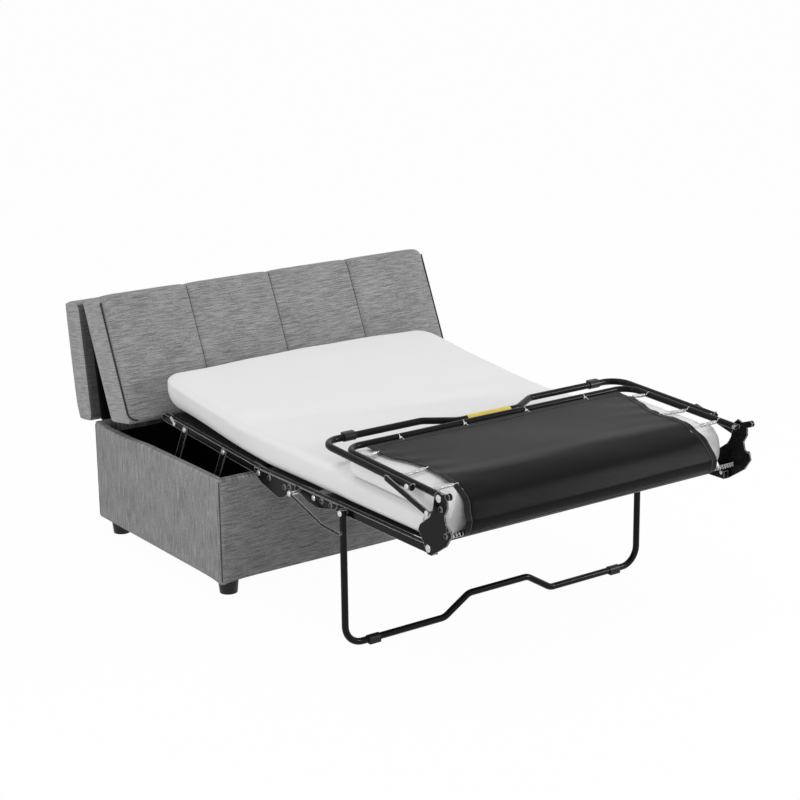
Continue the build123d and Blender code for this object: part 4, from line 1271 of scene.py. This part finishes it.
def on_path(path, lengths, run):
    """The side-view point at a run along the path, and the outward side-view normal."""
    index = 0
    while index < len(lengths) - 2 and lengths[index + 1] < run - 1e-9:
        index += 1
    share = (run - lengths[index]) / (lengths[index + 1] - lengths[index])
    start, end = Vector(path[index]), Vector(path[index + 1])
    ahead = (end - start).normalized()
    return start.lerp(end, share), Vector((-ahead.y, ahead.x))


def solid_cloth(piece, offset=0.0):
    """Give a sheet its thickness for good, with crisp cut edges."""
    solid = piece.modifiers.new("cloth", "SOLIDIFY")
    solid.thickness = DECK_THICK
    solid.offset = offset
    bpy.context.view_layer.update()
    flat = piece.data
    piece.data = bpy.data.meshes.new_from_object(
        piece.evaluated_get(bpy.context.evaluated_depsgraph_get()))
    piece.modifiers.clear()
    bpy.data.meshes.remove(flat)
    mark_cuts_sharp(piece)
    return piece


def flat_deck(name, node, body, y_from, y_to, z_at, half):
    """One flat deck cloth, stretched between the rails of its section."""
    path = [(y, z_at(y)) for y in spread(y_from, y_to, 24)]
    bm, lengths = cloth_sheet(2 * half, path, spread(0, 2 * half, 60))
    for vertex in bm.verts:
        spot, _ = on_path(path, lengths, vertex.co.y)
        vertex.co = Vector((vertex.co.x - half, spot.x, spot.y))
    piece = solid_cloth(new_piece(name, bm, DECK_CLOTH, outward=False))
    hand_over(piece, body, "deck_cloth", node)


def decks():
    """The three flat deck cloths; the head section's slopes up to the rear."""
    for name, node, body in (("head_deck_cloth", "head_deck", "head_section"),
                             ("link_deck_cloth", "link_deck", "link_section"),
                             ("body_deck_cloth", "body_deck", "body_section")):
        low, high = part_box(node)
        rise = high.z - low.z - 2 * DECK_IN if node == "head_deck" else 0.0
        slope = rise / (high.y - low.y)
        flat_deck(name, node, body, low.y + DECK_IN, high.y - DECK_IN,
                  lambda y, low=low, slope=slope: low.z + DECK_IN + (y - low.y) * slope,
                  (high.x - low.x) / 2)


decks()

PATH_STEPS = 8
DECK_PROFILE = tuple((y, foot_plane(y))
                     for y in (y_at(-1130), y_at(-1050), y_at(-965), DECK_FAR_Y))
FOOT_PATH = smooth_path(DRUM_PROFILE + DECK_PROFILE, PATH_STEPS)
DRUM_END = PATH_STEPS * (len(DRUM_PROFILE) - 1)


def cloth_half(y, z):
    """Half width of the foot cloth: flared at its far corners, drawn in before the fold."""
    half = CLOTH_HALF - DRAWN_IN * ease(y, y_at(-940), y_at(-1080))
    half += NEAR_FOLD_OUT * ease(y, y_at(-1100), y_at(-1190))
    return half + DRUM_OUT * ease(z, 0.53, 0.44) * ease(y, DECK_NEAR_Y, DECK_NEAR_Y - 0.03)


def foot_cloth(name, path, bodies, node, hem_start=False, hem_end=False):
    """One length of the foot cloth, hemmed along its sides, with creases at its edges."""
    width = 2 * DECK_HALF
    hem_cuts = [HEM_WIDE - THREAD_FAR, HEM_WIDE - THREAD_NEAR, HEM_WIDE,
                HEM_WIDE + THREAD_NEAR]
    across = spread(0, width, 72) + hem_cuts + [width - cut for cut in hem_cuts] + [
        0.002, width - 0.002]
    whole = run_lengths(path)[-1]
    along = ([cut + LOW_HEM_EXTRA for cut in hem_cuts] if hem_start else []) + (
        [whole - cut for cut in hem_cuts] if hem_end else [])
    bm, lengths = cloth_sheet(width, path, across, along)
    for vertex in bm.verts:
        across_run, run = vertex.co.x, vertex.co.y
        spot, out = on_path(path, lengths, run)
        side = (across_run - DECK_HALF) / DECK_HALF
        x = side * cloth_half(spot.x, spot.y)
        from_side = min(across_run, width - across_run)
        from_start = run - LOW_HEM_EXTRA if hem_start else 1.0
        from_end = whole - run if hem_end else 1.0
        near = min(from_side, from_start, from_end)
        raised = HEM_RAISED if near < HEM_WIDE - 0.0005 else 0.0
        groove = GROOVE_DEEP * bell(near, HEM_WIDE, GROOVE_WIDE)
        held = math.exp(-from_side / SIDE_HELD)
        crease = SIDE_CREASE * held * math.sin(95 * run + 9 * side) + WIDE_CREASE * math.sin(
            17 * run + 5.2 * side) * (1 - held)
        free = clamp(run / END_HELD) * clamp((whole - run) / END_HELD)
        lift = raised - groove + crease * free
        vertex.co = Vector((x, spot.x + out.x * lift, spot.y + out.y * lift))
    layer = bm.loops.layers.uv.active
    for face in bm.faces:
        middle = Vector((0, 0))
        for loop in face.loops:
            middle += loop[layer].uv / len(face.loops)
        near = min(middle.x, width - middle.x,
                   middle.y - LOW_HEM_EXTRA if hem_start else 1.0,
                   whole - middle.y if hem_end else 1.0)
        if near < HEM_WIDE:
            # the thread row takes the painted highlight, the rest of the hem its own cloth
            on_lit_thread = HEM_WIDE - THREAD_FAR < near < HEM_WIDE - THREAD_NEAR
            face.material_index = 2 if on_lit_thread else 1
    piece = solid_cloth(
        new_piece(name, bm, DECK_CLOTH, DECK_HEM, HEM_THREAD_PAINTED_HIGHLIGHT, outward=False), offset=-1.0)
    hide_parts(node)
    if len(bodies) == 1:
        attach(piece, bodies[0])
    else:
        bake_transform(piece)


def foot_cloths():
    """The drum round the fold, in two lengths, and the deck of the foot section."""
    middle = PATH_STEPS * DRUM_MIDDLE
    foot_cloth("drum_cloth_low", FOOT_PATH[:middle + 1], ("body_section", "fold_bracket"),
               "fold_deck", hem_start=True)
    foot_cloth("drum_cloth_high", FOOT_PATH[middle:DRUM_END + 1],
               ("fold_bracket", "foot_section"),
               "fold_deck")
    foot_cloth("foot_deck_cloth", FOOT_PATH[DRUM_END:], ("foot_section",), "foot_deck",
               hem_end=True)


foot_cloths()


# --- Tension springs between the foot cloth and its frame --------------------------
WIRE_RADIUS = 0.0010
COIL_RADIUS = 0.0044
FRAME_X = 0.498
FRAME_TUBE = 0.009
# the hook through the cloth, as (run towards the frame, rise)
CLOTH_HOOK = ((-0.007, -0.002), (-0.0075, 0.0015), (-0.003, 0.0022))
# springs at both sides, as (place along in mm, lean to the far end), and across the far end
SIDE_SPRINGS = ((-951.5, 0.018), (-1116.5, 0.016), (-1234, 0.0))
END_SPRINGS = (-0.3225, -0.1075, 0.1075, 0.3225)
SIDE_TURNS, END_TURNS, TURN_STEPS = 15, 3, 10


def spring_line(cloth, frame_middle, turns):
    """One wire: a hook in the cloth, a close coil, and a hook over the frame tube."""
    towards = (frame_middle - cloth).normalized()
    side = Vector((0, 0, 1)).cross(towards).normalized()
    up = towards.cross(side)
    reach = (frame_middle - cloth).length - FRAME_TUBE
    coil_start, coil_end = min(0.010, reach * 0.15), reach - min(0.008, reach * 0.15)
    line = [cloth + towards * run + up * rise for run, rise in CLOTH_HOOK]
    line.append(cloth + towards * (coil_start - WIRE_RADIUS))
    for step in range(turns * TURN_STEPS + 1):
        angle = 2 * math.pi * step / TURN_STEPS
        run = coil_start + (coil_end - coil_start) * step / (turns * TURN_STEPS)
        line.append(cloth + towards * run + (side * math.sin(angle) + up * math.cos(
            angle)) * COIL_RADIUS)
    over = FRAME_TUBE + WIRE_RADIUS
    for angle in spread(math.radians(-178), math.radians(-105), 5):
        line.append(frame_middle + towards * over * math.cos(angle)
                    - up * over * math.sin(angle))
    return line


def foot_springs():
    """Three springs on each side of the foot cloth and four along its far edge."""
    lines = []
    for y_mm, lean in SIDE_SPRINGS:
        y = y_at(y_mm)
        for sign in (-1, 1):
            half = cloth_half(y + lean, foot_plane(y))
            lines.append(spring_line(Vector((sign * half, y + lean, foot_plane(y + lean))),
                                     Vector((sign * FRAME_X, y, foot_plane(y))), SIDE_TURNS))
    bar_y = y_at(-860)
    for x in END_SPRINGS:
        lines.append(spring_line(Vector((x, DECK_FAR_Y, foot_plane(DECK_FAR_Y))),
                                 Vector((x, bar_y, foot_plane(bar_y))), END_TURNS))
    piece = wire_piece("foot_deck_coils", lines, WIRE_RADIUS, ZINC_STEEL)
    hand_over(piece, "foot_section", "zinc_steel", "foot_deck_springs")


foot_springs()
